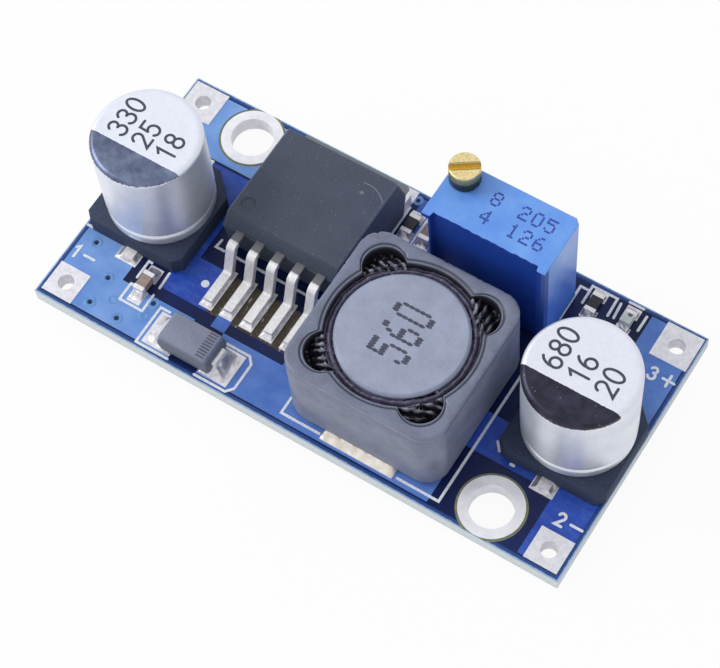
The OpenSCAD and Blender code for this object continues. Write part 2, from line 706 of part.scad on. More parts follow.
module inductor_glue() color([0.1, 0.1, 0.11]) shield_place(plate_t) for (at = pocket_at) difference() {
    translate([at[0], at[1], shield_h - pocket_deep]) cylinder(r = pocket_r, h = pocket_deep - glue_low);
    translate([0, 0, shield_h - pocket_deep - eps]) cylinder(r = drum_r, h = pocket_deep);
}

module inductor_terminals() color([0.78, 0.76, 0.72]) shield_place() for (sy = [-1, 1]) {
    out = shield_l / 2 - plate_inset;
    difference() {
        translate([0, sy * (out - plate_in / 2), 0]) plate(plate_w, plate_in, plate_t);
        translate([0, sy * out, -eps]) plate(plate_notch, 2 * plate_notch, plate_t + 2 * eps);
    }
}

// ------------------------------------------------------------------ diode

module diode_terminals() color([0.8, 0.8, 0.82]) translate([diode_x, diode_y, land_z])
    for (turn = [90, -90]) rotate([0, 0, turn]) bent_strip([
        [diode_strip_in - diode_l / 2, diode_split], [diode_bend_x, diode_split],
        [diode_bend_x, diode_strip_t / 2], [diode_foot_in - diode_l / 2, diode_strip_t / 2]],
        diode_strip_t, diode_strip_w, diode_bend_r);

module diode_case() color([0.22, 0.22, 0.24]) difference() {
    translate([diode_x, diode_y, land_z])
        moulded_case(diode_l, diode_w, diode_strip_t, diode_split, diode_top, diode_draft, diode_draft / 2);
    diode_terminals();
}

// ---------------------------------------------------------------- trimmer

module trimmer_place(z) translate([trim_x - trim_l / 2, trim_y - trim_d / 2, z]) children();

// A cylinder along Y from y = 0, standing on the gear's axis
module across(r, h) rotate([-90, 0, 0]) cylinder(r = r, h = h);

module trimmer_housing() color([0.2, 0.45, 0.85]) trimmer_place(trim_z) {
    difference() {
        linear_extrude(trim_h) difference() {
            square([trim_l, trim_d]);
            translate([panel_in, -eps]) square([trim_l - 2 * panel_in, panel_deep + eps]);
            translate([trim_l, trim_d]) corner_cut(trim_chamfer);
        }
        translate([-eps, -eps, -eps]) cube([lip_out + eps, lip_notch + eps, trim_h - lip_t + eps]);
        chamber();
        translate([screw_in_x, screw_y, screw_foot]) cylinder(r = shaft_r + running_play, h = trim_h);
        translate([screw_in_x, screw_y, screw_foot + bearing_l])
            cylinder(r = worm_r + running_play, h = trim_h);
    }
    translate([gear_x, gear_front - mesh_play, gear_z])
        across(gear_pin_r, chamber_back - gear_front + mesh_play);
    for (x = [foot_in, trim_l - foot_side - foot_in], y = [lip_notch, trim_d - foot_side - foot_in])
        translate([x, y, -trim_foot_h]) cube([foot_side, foot_side, trim_foot_h]);
}

// The room for the gear and the resistor plate, open at the bottom
module chamber() {
    translate([gear_x - chamber_r, element_back - element_t, -eps])
        cube([2 * chamber_r, chamber_back - element_back + element_t, gear_z + eps]);
    translate([gear_x, element_back - element_t, gear_z])
        across(chamber_r, chamber_back - element_back + element_t);
}

module trimmer_screw() color([0.86, 0.72, 0.36]) trimmer_place(trim_z)
    translate([screw_in_x, screw_y, 0]) difference() {
        union() {
            translate([0, 0, trim_h + head_play]) cylinder(r = head_r, h = head_h - head_play);
            translate([0, 0, trim_h - bearing_l - ring_t])
                cylinder(r = worm_r, h = bearing_l + ring_t + head_play + eps);
            translate([0, 0, screw_foot + running_play])
                cylinder(r = shaft_r, h = trim_h - screw_foot - bearing_l);
            translate([0, 0, gear_z]) worm();
        }
        translate([0, 0, trim_h - bearing_l]) tube(head_r, ring_in_r, ring_t);
        translate([0, 0, trim_h + head_h - slot_deep]) rotate([0, 0, slot_turn])
            plate(3 * head_r, slot_w, slot_deep + eps);
    }

// One thread, right-handed. Its section at any height is a circle with a lobe
// on one side: how wide the lobe is at a radius says how wide the thread is there.
module worm() {
    tip = thread_tip / worm_pitch * 180;
    root = thread_root / worm_pitch * 180;
    lobe = [for (a = [-root, -tip, -tip / 3, tip / 3, tip, root]) [a, abs(a) > tip ? worm_core_r : worm_r]];
    back = [for (k = [1:worm_facets / 2]) [root + k * (360 - 2 * root) / (worm_facets / 2 + 1), worm_core_r]];
    translate([0, 0, -worm_l / 2]) rotate([0, 0, -180 * worm_turns])
        linear_extrude(worm_l, twist = -360 * worm_turns, slices = worm_facets * worm_turns, segments = 1)
            polygon([for (q = concat(lobe, back)) q[1] * [cos(q[0]), sin(q[0])]]);
}

module trimmer_seal_ring() color([0.08, 0.08, 0.08]) trimmer_place(trim_z)
    translate([screw_in_x, screw_y, trim_h - bearing_l + ring_t / 2])
        rotate_extrude() translate([ring_in_r + ring_section_r, 0]) circle(ring_section_r);

module gear_place() trimmer_place(trim_z) translate([gear_x, gear_front, gear_z]) children();

module trimmer_gear() color([0.92, 0.9, 0.82]) gear_place() difference() {
    rotate([-90, 0, 0]) linear_extrude(gear_t) polygon([
        for (i = [0:gear_teeth - 1], side = [-1, 1], k = [0, 1])
            let (out = side < 0 ? k : 1 - k,
                 half = (out ? thread_tip : thread_root) / 2,
                 r = out ? gear_tip_r : gear_root_r)
            r * tooth_way((i + 0.5) * 360 / gear_teeth + side * half / r * 180 / PI)]);
    translate([0, -eps, 0]) across(gear_bore_r, gear_t + 2 * eps);
}
function tooth_way(a) = [-cos(a), sin(a)];

// The spring plate on the gear, with an arm that reaches to the track
module trimmer_wiper() color([0.8, 0.7, 0.5]) gear_place() {
    reach = gear_front - element_back - track_t - running_play;
    difference() {
        union() {
            translate([0, -wiper_t, 0]) across(wiper_hub_r, wiper_t);
            translate([-wiper_arm_w / 2, -wiper_t, 0])
                cube([wiper_arm_w, wiper_t, track_r + wiper_arm_w / 2]);
        }
        translate([0, -wiper_t - eps, 0]) across(gear_bore_r, wiper_t + 2 * eps);
    }
    translate([0, -reach, track_r]) across(wiper_tip_r, reach - wiper_t + eps);
}

// The resistor plate fills the chamber's outline over the seal
module trimmer_element() color([0.9, 0.9, 0.88]) trimmer_place(trim_z)
    translate([gear_x, element_back - element_t, gear_z]) {
        translate([-chamber_r, 0, seal_t - gear_z]) cube([2 * chamber_r, element_t, gear_z - seal_t]);
        across(chamber_r, element_t);
    }

module trimmer_track() color([0.15, 0.15, 0.15]) trimmer_place(trim_z)
    translate([gear_x, element_back, gear_z]) rotate([-90, 0, 0]) rotate([0, 0, 135])
        rotate_extrude(angle = 270) translate([track_r - track_w / 2, 0]) square([track_w, track_t]);

module trimmer_base_seal() color([0.16, 0.3, 0.6]) trimmer_place(trim_z) difference() {
    translate([gear_x - chamber_r, element_back - element_t, 0])
        cube([2 * chamber_r, chamber_back - element_back + element_t, seal_t]);
    pins(-eps, seal_t + eps);
}

module pins(low, high) for (k = [-1:1]) translate([trim_l / 2 + k * pin_pitch, pin_y, low])
    cylinder(r = pin_r, h = high - low);

module trimmer_pins() color([0.8, 0.8, 0.82]) trimmer_place(trim_z) pins(-trim_z - pin_out, pin_up);

module trimmer_solder() color([0.85, 0.85, 0.87]) trimmer_place(0) for (k = [-1:1])
    translate([trim_l / 2 + k * pin_pitch, pin_y, 0]) rotate_extrude() polygon([
        [pin_r, board_t + land_t], [pin_hole_r, board_t + land_t], [pin_hole_r, -land_t],
        [pin_hole_r + pin_ring_w * 0.8, -land_t], [pin_r + 0.12, -land_t - solder_h * 0.55],
        [pin_r, -land_t - solder_h]]);

// ------------------------------------------------------------- chip parts

// Body of a chip part, which lies along Y, and the metal that wraps its ends
module chip_body(at, h) translate([at[0], at[1], land_z + chip_end_t])
    plate(chip_w, chip_l - 2 * chip_end_t, h);

module chip_ends(at, h) difference() {
    for (sy = [-1, 1]) translate([at[0], at[1] + sy * (chip_l - chip_end_l) / 2, land_z])
        plate(chip_w + 2 * chip_end_t, chip_end_l, h + 2 * chip_end_t);
    chip_body(at, h);
}

module light_base() color([0.85, 0.88, 0.8]) chip_body([light_x, light_y], light_base_h);
module light_ends() color([0.75, 0.78, 0.6]) chip_ends([light_x, light_y], light_base_h);
module light_lens() color([0.9, 0.95, 0.85])
    translate([light_x, light_y, land_z + chip_end_t + light_base_h])
        leaning_block(chip_w, lens_l, lens_h, [0, lens_draft]);

module light_resistor() color([0.1, 0.1, 0.1]) chip_body([light_resistor_x, light_y], chip_resistor_h);
module light_resistor_ends() color([0.8, 0.8, 0.8]) chip_ends([light_resistor_x, light_y], chip_resistor_h);
module ceramic_capacitor() color([0.5, 0.38, 0.3]) chip_body([ceramic_x, ceramic_y], chip_capacitor_h);
module ceramic_capacitor_ends() color([0.8, 0.8, 0.8]) chip_ends([ceramic_x, ceramic_y], chip_capacitor_h);
module feedback_resistor() color([0.1, 0.1, 0.1])
    chip_body([feedback_resistor_x, feedback_y], chip_resistor_h);
module feedback_resistor_ends() color([0.8, 0.8, 0.8])
    chip_ends([feedback_resistor_x, feedback_y], chip_resistor_h);
module feedback_capacitor() color([0.5, 0.38, 0.3])
    chip_body([feedback_capacitor_x, feedback_y], chip_capacitor_h);
module feedback_capacitor_ends() color([0.8, 0.8, 0.8])
    chip_ends([feedback_capacitor_x, feedback_y], chip_capacitor_h);

// ------------------------------------------------------------------ nodes

circuit_board();
mounting_rings();
wire_terminals();
solder_lands();
trimmer_hole_rings();
input_capacitor_can();
input_capacitor_base();
input_capacitor_leads();
output_capacitor_can();
output_capacitor_base();
output_capacitor_leads();
regulator_case();
regulator_tab();
regulator_leads();
inductor_shield();
inductor_drum();
inductor_winding();
inductor_glue();
inductor_terminals();
diode_case();
diode_terminals();
trimmer_housing();
trimmer_screw();
trimmer_seal_ring();
trimmer_gear();
trimmer_wiper();
trimmer_element();
trimmer_track();
trimmer_base_seal();
trimmer_pins();
trimmer_solder();
light_base();
light_lens();
light_ends();
light_resistor();
light_resistor_ends();
ceramic_capacitor();
ceramic_capacitor_ends();
feedback_resistor();
feedback_resistor_ends();
feedback_capacitor();
feedback_capacitor_ends();
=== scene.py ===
import math

import bpy
import numpy as np
from mathutils import Matrix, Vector
from mathutils.geometry import delaunay_2d_cdt


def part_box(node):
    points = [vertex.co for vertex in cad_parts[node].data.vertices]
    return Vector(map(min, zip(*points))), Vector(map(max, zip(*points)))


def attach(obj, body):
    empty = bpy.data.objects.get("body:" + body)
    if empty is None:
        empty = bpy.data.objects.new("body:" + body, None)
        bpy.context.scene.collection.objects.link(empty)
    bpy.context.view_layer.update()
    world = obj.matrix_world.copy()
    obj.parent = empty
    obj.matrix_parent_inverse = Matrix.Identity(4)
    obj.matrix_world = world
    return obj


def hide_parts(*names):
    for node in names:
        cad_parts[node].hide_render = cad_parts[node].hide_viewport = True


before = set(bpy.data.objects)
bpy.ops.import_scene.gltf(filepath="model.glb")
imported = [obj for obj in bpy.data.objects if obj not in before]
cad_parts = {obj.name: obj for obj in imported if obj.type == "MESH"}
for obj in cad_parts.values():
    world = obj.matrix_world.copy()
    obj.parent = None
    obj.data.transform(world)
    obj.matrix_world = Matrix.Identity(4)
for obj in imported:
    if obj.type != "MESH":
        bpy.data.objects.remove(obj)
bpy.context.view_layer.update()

MM = 0.001                      # the code below works in millimetres


# ---------------------------------------------------------------- places

def box(node):
    """Lowest and highest corner of a CAD node, in millimetres."""
    low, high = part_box(node)
    return np.array(low) / MM, np.array(high) / MM


def middle(node):
    low, high = box(node)
    return (low + high) / 2


BOARD_LOW, BOARD_HIGH = box("circuit_board")
BOARD_TOP = BOARD_HIGH[2]
LAND_TOP = box("solder_lands")[1][2]
CAN_IN, CAN_OUT = middle("input_capacitor_can"), middle("output_capacitor_can")
CASE_LOW, CASE_HIGH = box("regulator_case")
SHIELD_LOW, SHIELD_HIGH = box("inductor_shield")
SHIELD = (SHIELD_LOW + SHIELD_HIGH) / 2
DIODE_LOW, DIODE_HIGH = box("diode_case")
HOUSING_LOW, HOUSING_HIGH = box("trimmer_housing")
SCREW_LOW, SCREW_HIGH = box("trimmer_screw")
RINGS_LOW, RINGS_HIGH = box("mounting_rings")
RING_R = 2.32                   # a mounting ring's outer radius
MOUNT = np.array([RINGS_HIGH[0] - RING_R, RINGS_LOW[1] + RING_R])   # the front right mounting hole


# --------------------------------------------------------- shapes as arrays
# A shape is (points, faces): an array of points in millimetres, and a list of
# arrays of faces, each array with its own number of corners a face.

def quads(rows, cols, close_rows=False):
    """Faces of a grid whose points are stored row by row and whose rows close on themselves."""
    r = np.arange(rows if close_rows else rows - 1)[:, None]
    c = np.arange(cols)[None, :]
    r2, c2 = (r + 1) % rows, (c + 1) % cols
    return np.stack([r * cols + c, r * cols + c2, r2 * cols + c2, r2 * cols + c], -1).reshape(-1, 4)


def stack(rings, top=True, bottom=True):
    """A solid from rings of equal counts, lowest first, each anticlockwise seen from above."""
    rings = np.asarray(rings, float)
    k, n = rings.shape[:2]
    faces = [quads(k, n)]
    if bottom:
        faces.append(np.arange(n)[::-1][None, :])
    if top:
        faces.append(((k - 1) * n + np.arange(n))[None, :])
    return rings.reshape(-1, 3), faces


def together(*shapes):
    """Several shapes as one."""
    points, faces, start = [], [], 0
    for p, f in shapes:
        points.append(p)
        faces += [a + start for a in f]
        start += len(p)
    return np.concatenate(points), faces


def at_height(outline, z):
    """Points (x, y) of an outline as points (x, y, z)."""
    outline = np.asarray(outline, float)
    return np.column_stack([outline, np.full(len(outline), float(z))])


def circle(r, count=96, centre=(0, 0)):
    a = np.arange(count) * 2 * np.pi / count
    return np.column_stack([centre[0] + r * np.cos(a), centre[1] + r * np.sin(a)])


def rounded(low, high, r, steps=6):
    """A rectangle from low to high whose corners are arcs of radius r."""
    low, high = np.asarray(low[:2], float), np.asarray(high[:2], float)
    arc = np.linspace(0, np.pi / 2, steps + 1)
    turns = [(high[0] - r, high[1] - r, 0), (low[0] + r, high[1] - r, 1),
             (low[0] + r, low[1] + r, 2), (high[0] - r, low[1] + r, 3)]
    return np.concatenate([np.column_stack([x + r * np.cos(arc + q * np.pi / 2),
                                            y + r * np.sin(arc + q * np.pi / 2)]) for x, y, q in turns])


def inset(outline, by):
    """The outline moved inwards: each corner goes along its mitre, so that both its sides move by the same
    amount."""
    p = np.asarray(outline, float)
    d = np.roll(p, -1, 0) - p
    d /= np.linalg.norm(d, axis=1)[:, None]
    n = np.column_stack([-d[:, 1], d[:, 0]])
    m = n + np.roll(n, 1, 0)
    m /= (m * n).sum(1)[:, None]
    return p + by * m


def slab(outline, low, high, edge=0.0, foot=0.0):
    """An upright solid of that outline, with a slope of width edge round its top and foot round its
    bottom."""
    rings = [at_height(outline, low)] if not foot else [at_height(inset(outline, foot), low),
                                                        at_height(outline, low + foot)]
    if edge:
        rings += [at_height(outline, high - edge), at_height(inset(outline, edge * 0.3), high - edge * 0.3),
                  at_height(inset(outline, edge), high)]
    else:
        rings.append(at_height(outline, high))
    return stack(rings)


def turned(profile, centre=(0, 0), count=96):
    """A turned solid: the profile's points are (radius, height), lowest first, and its ends are closed
    flat."""
    a = np.arange(count) * 2 * np.pi / count
    r, z = np.asarray(profile, float).T
    rings = np.stack([centre[0] + r[:, None] * np.cos(a), centre[1] + r[:, None] * np.sin(a),
                      np.repeat(z[:, None], count, 1)], -1)
    return stack(rings)


def bar(path, section, axis, closed=False):
    """A section carried along a path that lies in the plane square to axis. The section's points are
    (across, along the axis), and at each corner of the path it lies in the mitre's plane."""
    path, axis = np.asarray(path, float), np.asarray(axis, float)
    d = (np.roll(path, -1, 0) - path) if closed else np.diff(path, axis=0)
    d /= np.linalg.norm(d, axis=1)[:, None]
    n = np.cross(axis, d)
    first, last = (np.roll(n, 1, 0), n) if closed else (np.vstack([n[:1], n]), np.vstack([n, n[-1:]]))
    m = first + last
    m /= (m * first).sum(1)[:, None]
    s = np.asarray(section, float)
    rings = path[:, None] + s[None, :, :1] * m[:, None] + s[None, :, 1:] * axis
    if closed:
        return rings.reshape(-1, 3), [quads(len(path), len(s), close_rows=True)]
    return stack(rings)


def strip_section(across, along, edge):
    """A rectangle with sloped corners, as a section for bar()."""
    a, b = across / 2, along / 2
    return [(a, -b + edge), (a, b - edge), (a - edge, b), (-a + edge, b),
            (-a, b - edge), (-a, -b + edge), (-a + edge, -b), (a - edge, -b)]


def bent(points, r, steps=6):
    """A line of straight runs whose inner corners are arcs of radius r."""
    points = [np.asarray(p, float) for p in points]
    out = [points[0]]
    for before, p, after in zip(points, points[1:], points[2:]):
        a, b = before - p, after - p
        a, b = a / np.linalg.norm(a), b / np.linalg.norm(b)
        half = np.arccos(np.clip(a @ b, -1, 1)) / 2
        centre = p + (a + b) / np.linalg.norm(a + b) * r / np.sin(half)
        start, end = p + a * r / np.tan(half) - centre, p + b * r / np.tan(half) - centre
        turn = np.pi - 2 * half
        t = np.linspace(0, 1, steps)[:, None]
        out += list(centre + (np.sin((1 - t) * turn) * start + np.sin(t * turn) * end) / np.sin(turn))
    return np.array(out + [points[-1]])


def filled(outline, holes=()):
    """Triangles that fill an outline around its holes. Returns points (x, y) and triangles."""
    loops = [np.asarray(outline, float)] + [np.asarray(h, float) for h in holes]
    points = np.concatenate(loops)
    edges, start = [], 0
    for loop in loops:
        i = np.arange(len(loop))
        edges += np.column_stack([start + i, start + (i + 1) % len(loop)]).tolist()
        start += len(loop)
    made = delaunay_2d_cdt([tuple(p) for p in points], edges, [], 1, 1e-7)
    xy, tris = np.array([tuple(p) for p in made[0]]), np.array(made[2])
    mid = xy[tris].mean(1)
    keep = inside(mid, loops[0])
    for h in loops[1:]:
        keep &= ~inside(mid, h)
    return xy, tris[keep]


def inside(points, loop):
    """Which points lie in a loop: a ray from each crosses its sides an odd number of times."""
    x, y = points[:, :1], points[:, 1:]
    a, b = loop, np.roll(loop, -1, 0)
    crosses = (a[:, 1] > y) != (b[:, 1] > y)
    with np.errstate(divide="ignore", invalid="ignore"):
        at = a[:, 0] + (y - a[:, 1]) / (b[:, 1] - a[:, 1]) * (b[:, 0] - a[:, 0])
    return (np.where(crosses, x < at, False).sum(1) % 2).astype(bool)


def pierced(outline, holes, low, high):
    """A flat plate of that outline with holes in it. The outline is anticlockwise and so are the holes."""
    xy, tris = filled(outline, holes)
    n = len(xy)
    points = np.concatenate([at_height(xy, high), at_height(xy, low)])
    faces = [tris, tris[:, ::-1] + n]
    start = 0
    for k, loop in enumerate([outline, *holes]):
        i = start + np.arange(len(loop))
        j = start + (np.arange(len(loop)) + 1) % len(loop)
        side = np.column_stack([i, i + n, j + n, j])
        faces.append(side if k == 0 else side[:, ::-1])
        start += len(loop)
    return points, faces


def mound(land, foot, height, base, power=2.0, rough=0.0, seed=0, count=(26, 26)):
    """Solder on a land (x0, y0, x1, y1) that climbs to a foot (x0, y0, x1, y1): its height over base is
    height times (1 - t) to that power, where t goes from 0 at the foot to 1 at the land's edge."""
    lx0, ly0, lx1, ly1 = land
    fx0, fy0, fx1, fy1 = foot
    x = np.linspace(lx0, lx1, count[0])[None, :] + np.zeros((count[1], 1))
    y = np.linspace(ly0, ly1, count[1])[:, None] + np.zeros((1, count[0]))
    tx = np.maximum((fx0 - x) / max(fx0 - lx0, 1e-3), (x - fx1) / max(lx1 - fx1, 1e-3)).clip(0)
    ty = np.maximum((fy0 - y) / max(fy0 - ly0, 1e-3), (y - fy1) / max(ly1 - fy1, 1e-3)).clip(0)
    t = np.minimum(1, (tx ** 3 + ty ** 3) ** (1 / 3))
    z = base + height * (1 - t) ** power
    if rough:
        rng = np.random.default_rng(seed)
        wave = sum(rng.uniform(-1, 1) * np.sin(x * rng.uniform(2, 9) + y * rng.uniform(2, 9) + rng.uniform(0, 6))
                   for _ in range(6))
        z = z + rough * wave * np.minimum(1, 4 * (1 - t)) * (1 - t)
    z = np.maximum(z, base)
    points = np.stack([x, y, z], -1).reshape(-1, 3)
    rows, cols = count[1], count[0]
    r, c = np.arange(rows - 1)[:, None], np.arange(cols - 1)[None, :]
    a = r * cols + c
    faces = np.stack([a, a + 1, a + cols + 1, a + cols], -1).reshape(-1, 4)
    rim = np.concatenate([np.arange(cols), (np.arange(1, rows) + 1) * cols - 1,
                          (rows - 1) * cols + np.arange(cols - 2, -1, -1), np.arange(rows - 2, 0, -1) * cols])
    return points, [faces, rim[::-1][None, :]]


def piece(name, shape, material, replaces=(), body="module", sharp=25, mark=None):
    """Makes a piece of a shape, which rides on a body and stands for the CAD nodes named. mark is a
    number from 0 to 1 at each point, which the material may read."""
    points, faces = shape
    mesh = bpy.data.meshes.new(name)
    mesh.from_pydata((points * MM).tolist(), [], [f for a in faces for f in a.tolist()])
    mesh.shade_smooth()
    mesh.set_sharp_from_angle(angle=math.radians(sharp))
    mesh.materials.append(material)
    if mark is not None:
        mesh.attributes.new("mark", "FLOAT", "POINT").data.foreach_set("value", np.asarray(mark, np.float32))
    obj = bpy.data.objects.new(name, mesh)
    bpy.context.scene.collection.objects.link(obj)
    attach(obj, body)
    if replaces:
        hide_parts(*([replaces] if isinstance(replaces, str) else replaces))
    return obj


# -------------------------------------------------------------- materials

def tone(r, g, b):
    """A colour as it is seen, 0 to 255, as the linear colour that a shader wants."""
    c = np.array([r, g, b], float) / 255
    c = np.where(c <= 0.04045, c / 12.92, ((c + 0.055) / 1.055) ** 2.4)
    return (*c, 1.0)


class Finish:
    """A material, with short calls for the nodes that the finishes below share. Places are in millimetres."""

    def __init__(self, name, roughness=0.5, metallic=0.0, colour=None, **values):
        self.material = bpy.data.materials.new(name)
        self.material.use_nodes = True
        self.tree = self.material.node_tree
        self.shader = self.tree.nodes["Principled BSDF"]
        where = self.tree.nodes.new("ShaderNodeTexCoord").outputs["Object"]
        self.place = self.node("ShaderNodeVectorMath", {0: where, "Scale": 1 / MM},
                               operation="SCALE").outputs[0]
        self.set("Roughness", roughness)
        self.set("Metallic", metallic)
        if colour is not None:
            self.set("Base Color", colour)
        for name_, value in values.items():
            self.set(name_.replace("_", " "), value)

    def node(self, kind, inputs=None, **settings):
        n = self.tree.nodes.new(kind)
        for key, value in settings.items():
            setattr(n, key, value)
        for key, value in (inputs or {}).items():
            self.feed(n.inputs[key], value)
        return n

    def feed(self, socket, value):
        if isinstance(value, bpy.types.NodeSocket):
            self.tree.links.new(value, socket)
        else:
            socket.default_value = value

    def set(self, name, value):
        self.feed(self.shader.inputs[name], value)

    def sum(self, operation, a, b=0.0, clamp=False):
        return self.node("ShaderNodeMath", {0: a, 1: b}, operation=operation, use_clamp=clamp).outputs[0]

    def noise(self, size, detail=2.0, rough=0.5, stretch=(1, 1, 1), shift=(0, 0, 0)):
        """Noise whose spots are about size millimetres wide."""
        v = self.node("ShaderNodeMapping", {"Vector": self.place, "Scale": stretch,
                                            "Location": shift}).outputs[0]
        return self.node("ShaderNodeTexNoise", {"Vector": v, "Scale": 1 / size, "Detail": detail,
                                                "Roughness": rough}).outputs["Fac"]

    def specks(self, size, share, shift=(0, 0, 0)):
        """1 on small round specks that stand about size millimetres apart, else 0."""
        v = self.node("ShaderNodeMapping", {"Vector": self.place, "Location": shift}).outputs[0]
        d = self.node("ShaderNodeTexVoronoi", {"Vector": v, "Scale": 1 / size}).outputs["Distance"]
        return self.sum("LESS_THAN", d, share)

    def ramp(self, value, low, high, a=0.0, b=1.0, smooth=False):
        """value from low..high to a..b."""
        n = self.node("ShaderNodeMapRange", {"Value": value, "From Min": low, "From Max": high,
                                             "To Min": a, "To Max": b})
        n.interpolation_type = "SMOOTHSTEP" if smooth else "LINEAR"
        return n.outputs["Result"]

    def mix(self, share, a, b, blend="MIX"):
        n = self.node("ShaderNodeMix", data_type="RGBA", blend_type=blend)
        self.feed(n.inputs[0], share)
        self.feed(n.inputs[6], a)
        self.feed(n.inputs[7], b)
        return n.outputs[2]

    def axes(self):
        return self.node("ShaderNodeSeparateXYZ", {0: self.place}).outputs

    def in_box(self, x0, y0, x1, y1):
        """1 inside a rectangle seen from above, else 0."""
        x, y, _ = self.axes()
        d = self.sum("MINIMUM", self.sum("MINIMUM", self.sum("SUBTRACT", x, x0), self.sum("SUBTRACT", x1, x)),
                     self.sum("MINIMUM", self.sum("SUBTRACT", y, y0), self.sum("SUBTRACT", y1, y)))
        return self.sum("GREATER_THAN", d, 0.0)

    def from_axis(self, x, y):
        """Distance from an upright axis."""
        flat = self.node("ShaderNodeVectorMath", {0: self.place, 1: (1, 1, 0)},
                         operation="MULTIPLY").outputs[0]
        return self.node("ShaderNodeVectorMath", {0: flat, 1: (x, y, 0)},
                         operation="DISTANCE").outputs["Value"]

    def bump(self, height, depth):
        """A relief of that depth in millimetres."""
        n = self.node("ShaderNodeBump", {"Height": height, "Distance": depth * MM, "Strength": 1.0})
        self.set("Normal", n.outputs["Normal"])
        return self


def board_lacquer():
    """Blue lacquer on bare laminate: nearly black where no copper is under it, with painted glow along the cut
    edges, with bare laminate round the mounting rings and brown bare laminate between the regulator's lands."""
    f = Finish("board_lacquer", roughness=0.3, Specular_IOR_Level=0.2)
    x, y, z = f.axes()
    drift = f.noise(6, 3, 0.6)
    blue = f.mix(f.ramp(drift, 0.35, 0.65), tone(12, 22, 62), tone(22, 38, 92))
    blue = f.mix(f.sum("MULTIPLY", f.specks(0.5, 0.05), 0.6), blue, tone(120, 150, 205))
    # painted glow of the light that comes in through the cut edge, palest right at the edge
    to_edge = f.sum("MINIMUM", f.sum("SUBTRACT", BOARD_HIGH[0], f.sum("ABSOLUTE", x)),
                    f.sum("SUBTRACT", BOARD_HIGH[1], f.sum("ABSOLUTE", y)))
    blue = f.mix(f.ramp(to_edge, 0.4, 0.25, 0, 0.6, smooth=True), blue, tone(60, 98, 170))
    blue = f.mix(f.ramp(f.sum("ADD", to_edge, f.sum("MULTIPLY", f.noise(0.3, 3, 0.6), 0.12)), 0.2, 0.1,
                        smooth=True),
                 blue, tone(168, 194, 226))
    bare = f.mix(f.ramp(f.noise(0.4, 2, 0.5), 0.4, 0.6), tone(112, 124, 112), tone(140, 136, 92))
    for s in (1, -1):
        blue = f.mix(f.sum("LESS_THAN", f.from_axis(s * MOUNT[0], s * MOUNT[1]), HALO_R), blue, bare)
    weave = f.noise(0.3, 4, 0.7, stretch=(1, 4, 1))
    brown = f.mix(f.ramp(weave, 0.35, 0.7), tone(40, 36, 30), tone(92, 84, 66))
    streaks = f.noise(0.16, 3, 0.6, stretch=(1, 0.16, 1))
    brown = f.mix(f.ramp(streaks, 0.6, 0.66, 0, 0.8), brown, tone(188, 184, 176))
    blue = f.mix(f.in_box(*BARE_STRIP), blue, brown)
    cut = f.sum("LESS_THAN", to_edge, 0.02)
    laminate = f.mix(f.ramp(f.noise(0.5, 3, 0.6, stretch=(1, 1, 4)), 0.35, 0.7), tone(212, 219, 222),
                     tone(236, 239, 237))
    band = f.ramp(f.sum("ABSOLUTE", f.sum("SUBTRACT", z, BOARD_TOP / 2)), BOARD_TOP / 2 - 0.1,
                  BOARD_TOP / 2 - 0.02)
    laminate = f.mix(band, laminate, tone(140, 174, 218))
    f.set("Base Color", f.mix(cut, blue, laminate))
    f.set("Roughness", f.ramp(cut, 0, 1, 0.3, 0.6))
    f.bump(f.noise(0.45, 3, 0.6), 0.004)
    return f.material


def copper_lacquer():
    """The same lacquer over copper: lighter with painted reflection the more the mesh is marked, clouded, and
    with fine specks.
    """
    f = Finish("copper_lacquer", roughness=0.28, Specular_IOR_Level=0.3)
    drift = f.noise(4, 3, 0.6)
    mark = f.node("ShaderNodeAttribute", attribute_name="mark").outputs["Fac"]
    deep = f.mix(f.ramp(drift, 0.35, 0.65), tone(24, 60, 166), tone(34, 78, 192))
    pale = f.mix(f.ramp(drift, 0.35, 0.65), tone(98, 144, 216), tone(132, 172, 230))
    # the mark mixes in the pale tone: painted reflection over the lacquered copper
    blue = f.mix(mark, deep, pale)
    blue = f.mix(f.ramp(f.noise(0.5, 4, 0.7, stretch=(0.5, 1, 1)), 0.45, 0.8, 0, 0.16), blue,
                 tone(150, 186, 234))
    f.set("Base Color", blue)
    f.bump(f.noise(0.3, 4, 0.65), 0.004)
    return f.material


def board_print():
    f = Finish("board_print", roughness=0.55)
    f.set("Base Color", f.mix(f.ramp(f.noise(0.18, 3, 0.7), 0.3, 0.55), tone(196, 206, 226),
                              tone(238, 240, 246)))
    f.bump(f.noise(0.08, 2, 0.6), 0.004)
    return f.material


def tin(name, light=(232, 231, 238), dark=(212, 211, 219), roughness=0.42, relief=0.006, size=0.35,
        metallic=0.5):
    """Tin or solder: bright, in soft pools and grains."""
    f = Finish(name, metallic=metallic)
    grains = f.noise(size, 4, 0.6)
    f.set("Base Color", f.mix(f.ramp(grains, 0.3, 0.64), tone(*dark), tone(*light)))
    f.set("Roughness", f.ramp(f.noise(size * 1.7, 3, 0.5), 0.3, 0.7, roughness * 0.8, roughness * 1.25))
    f.bump(grains, relief)
    return f.material


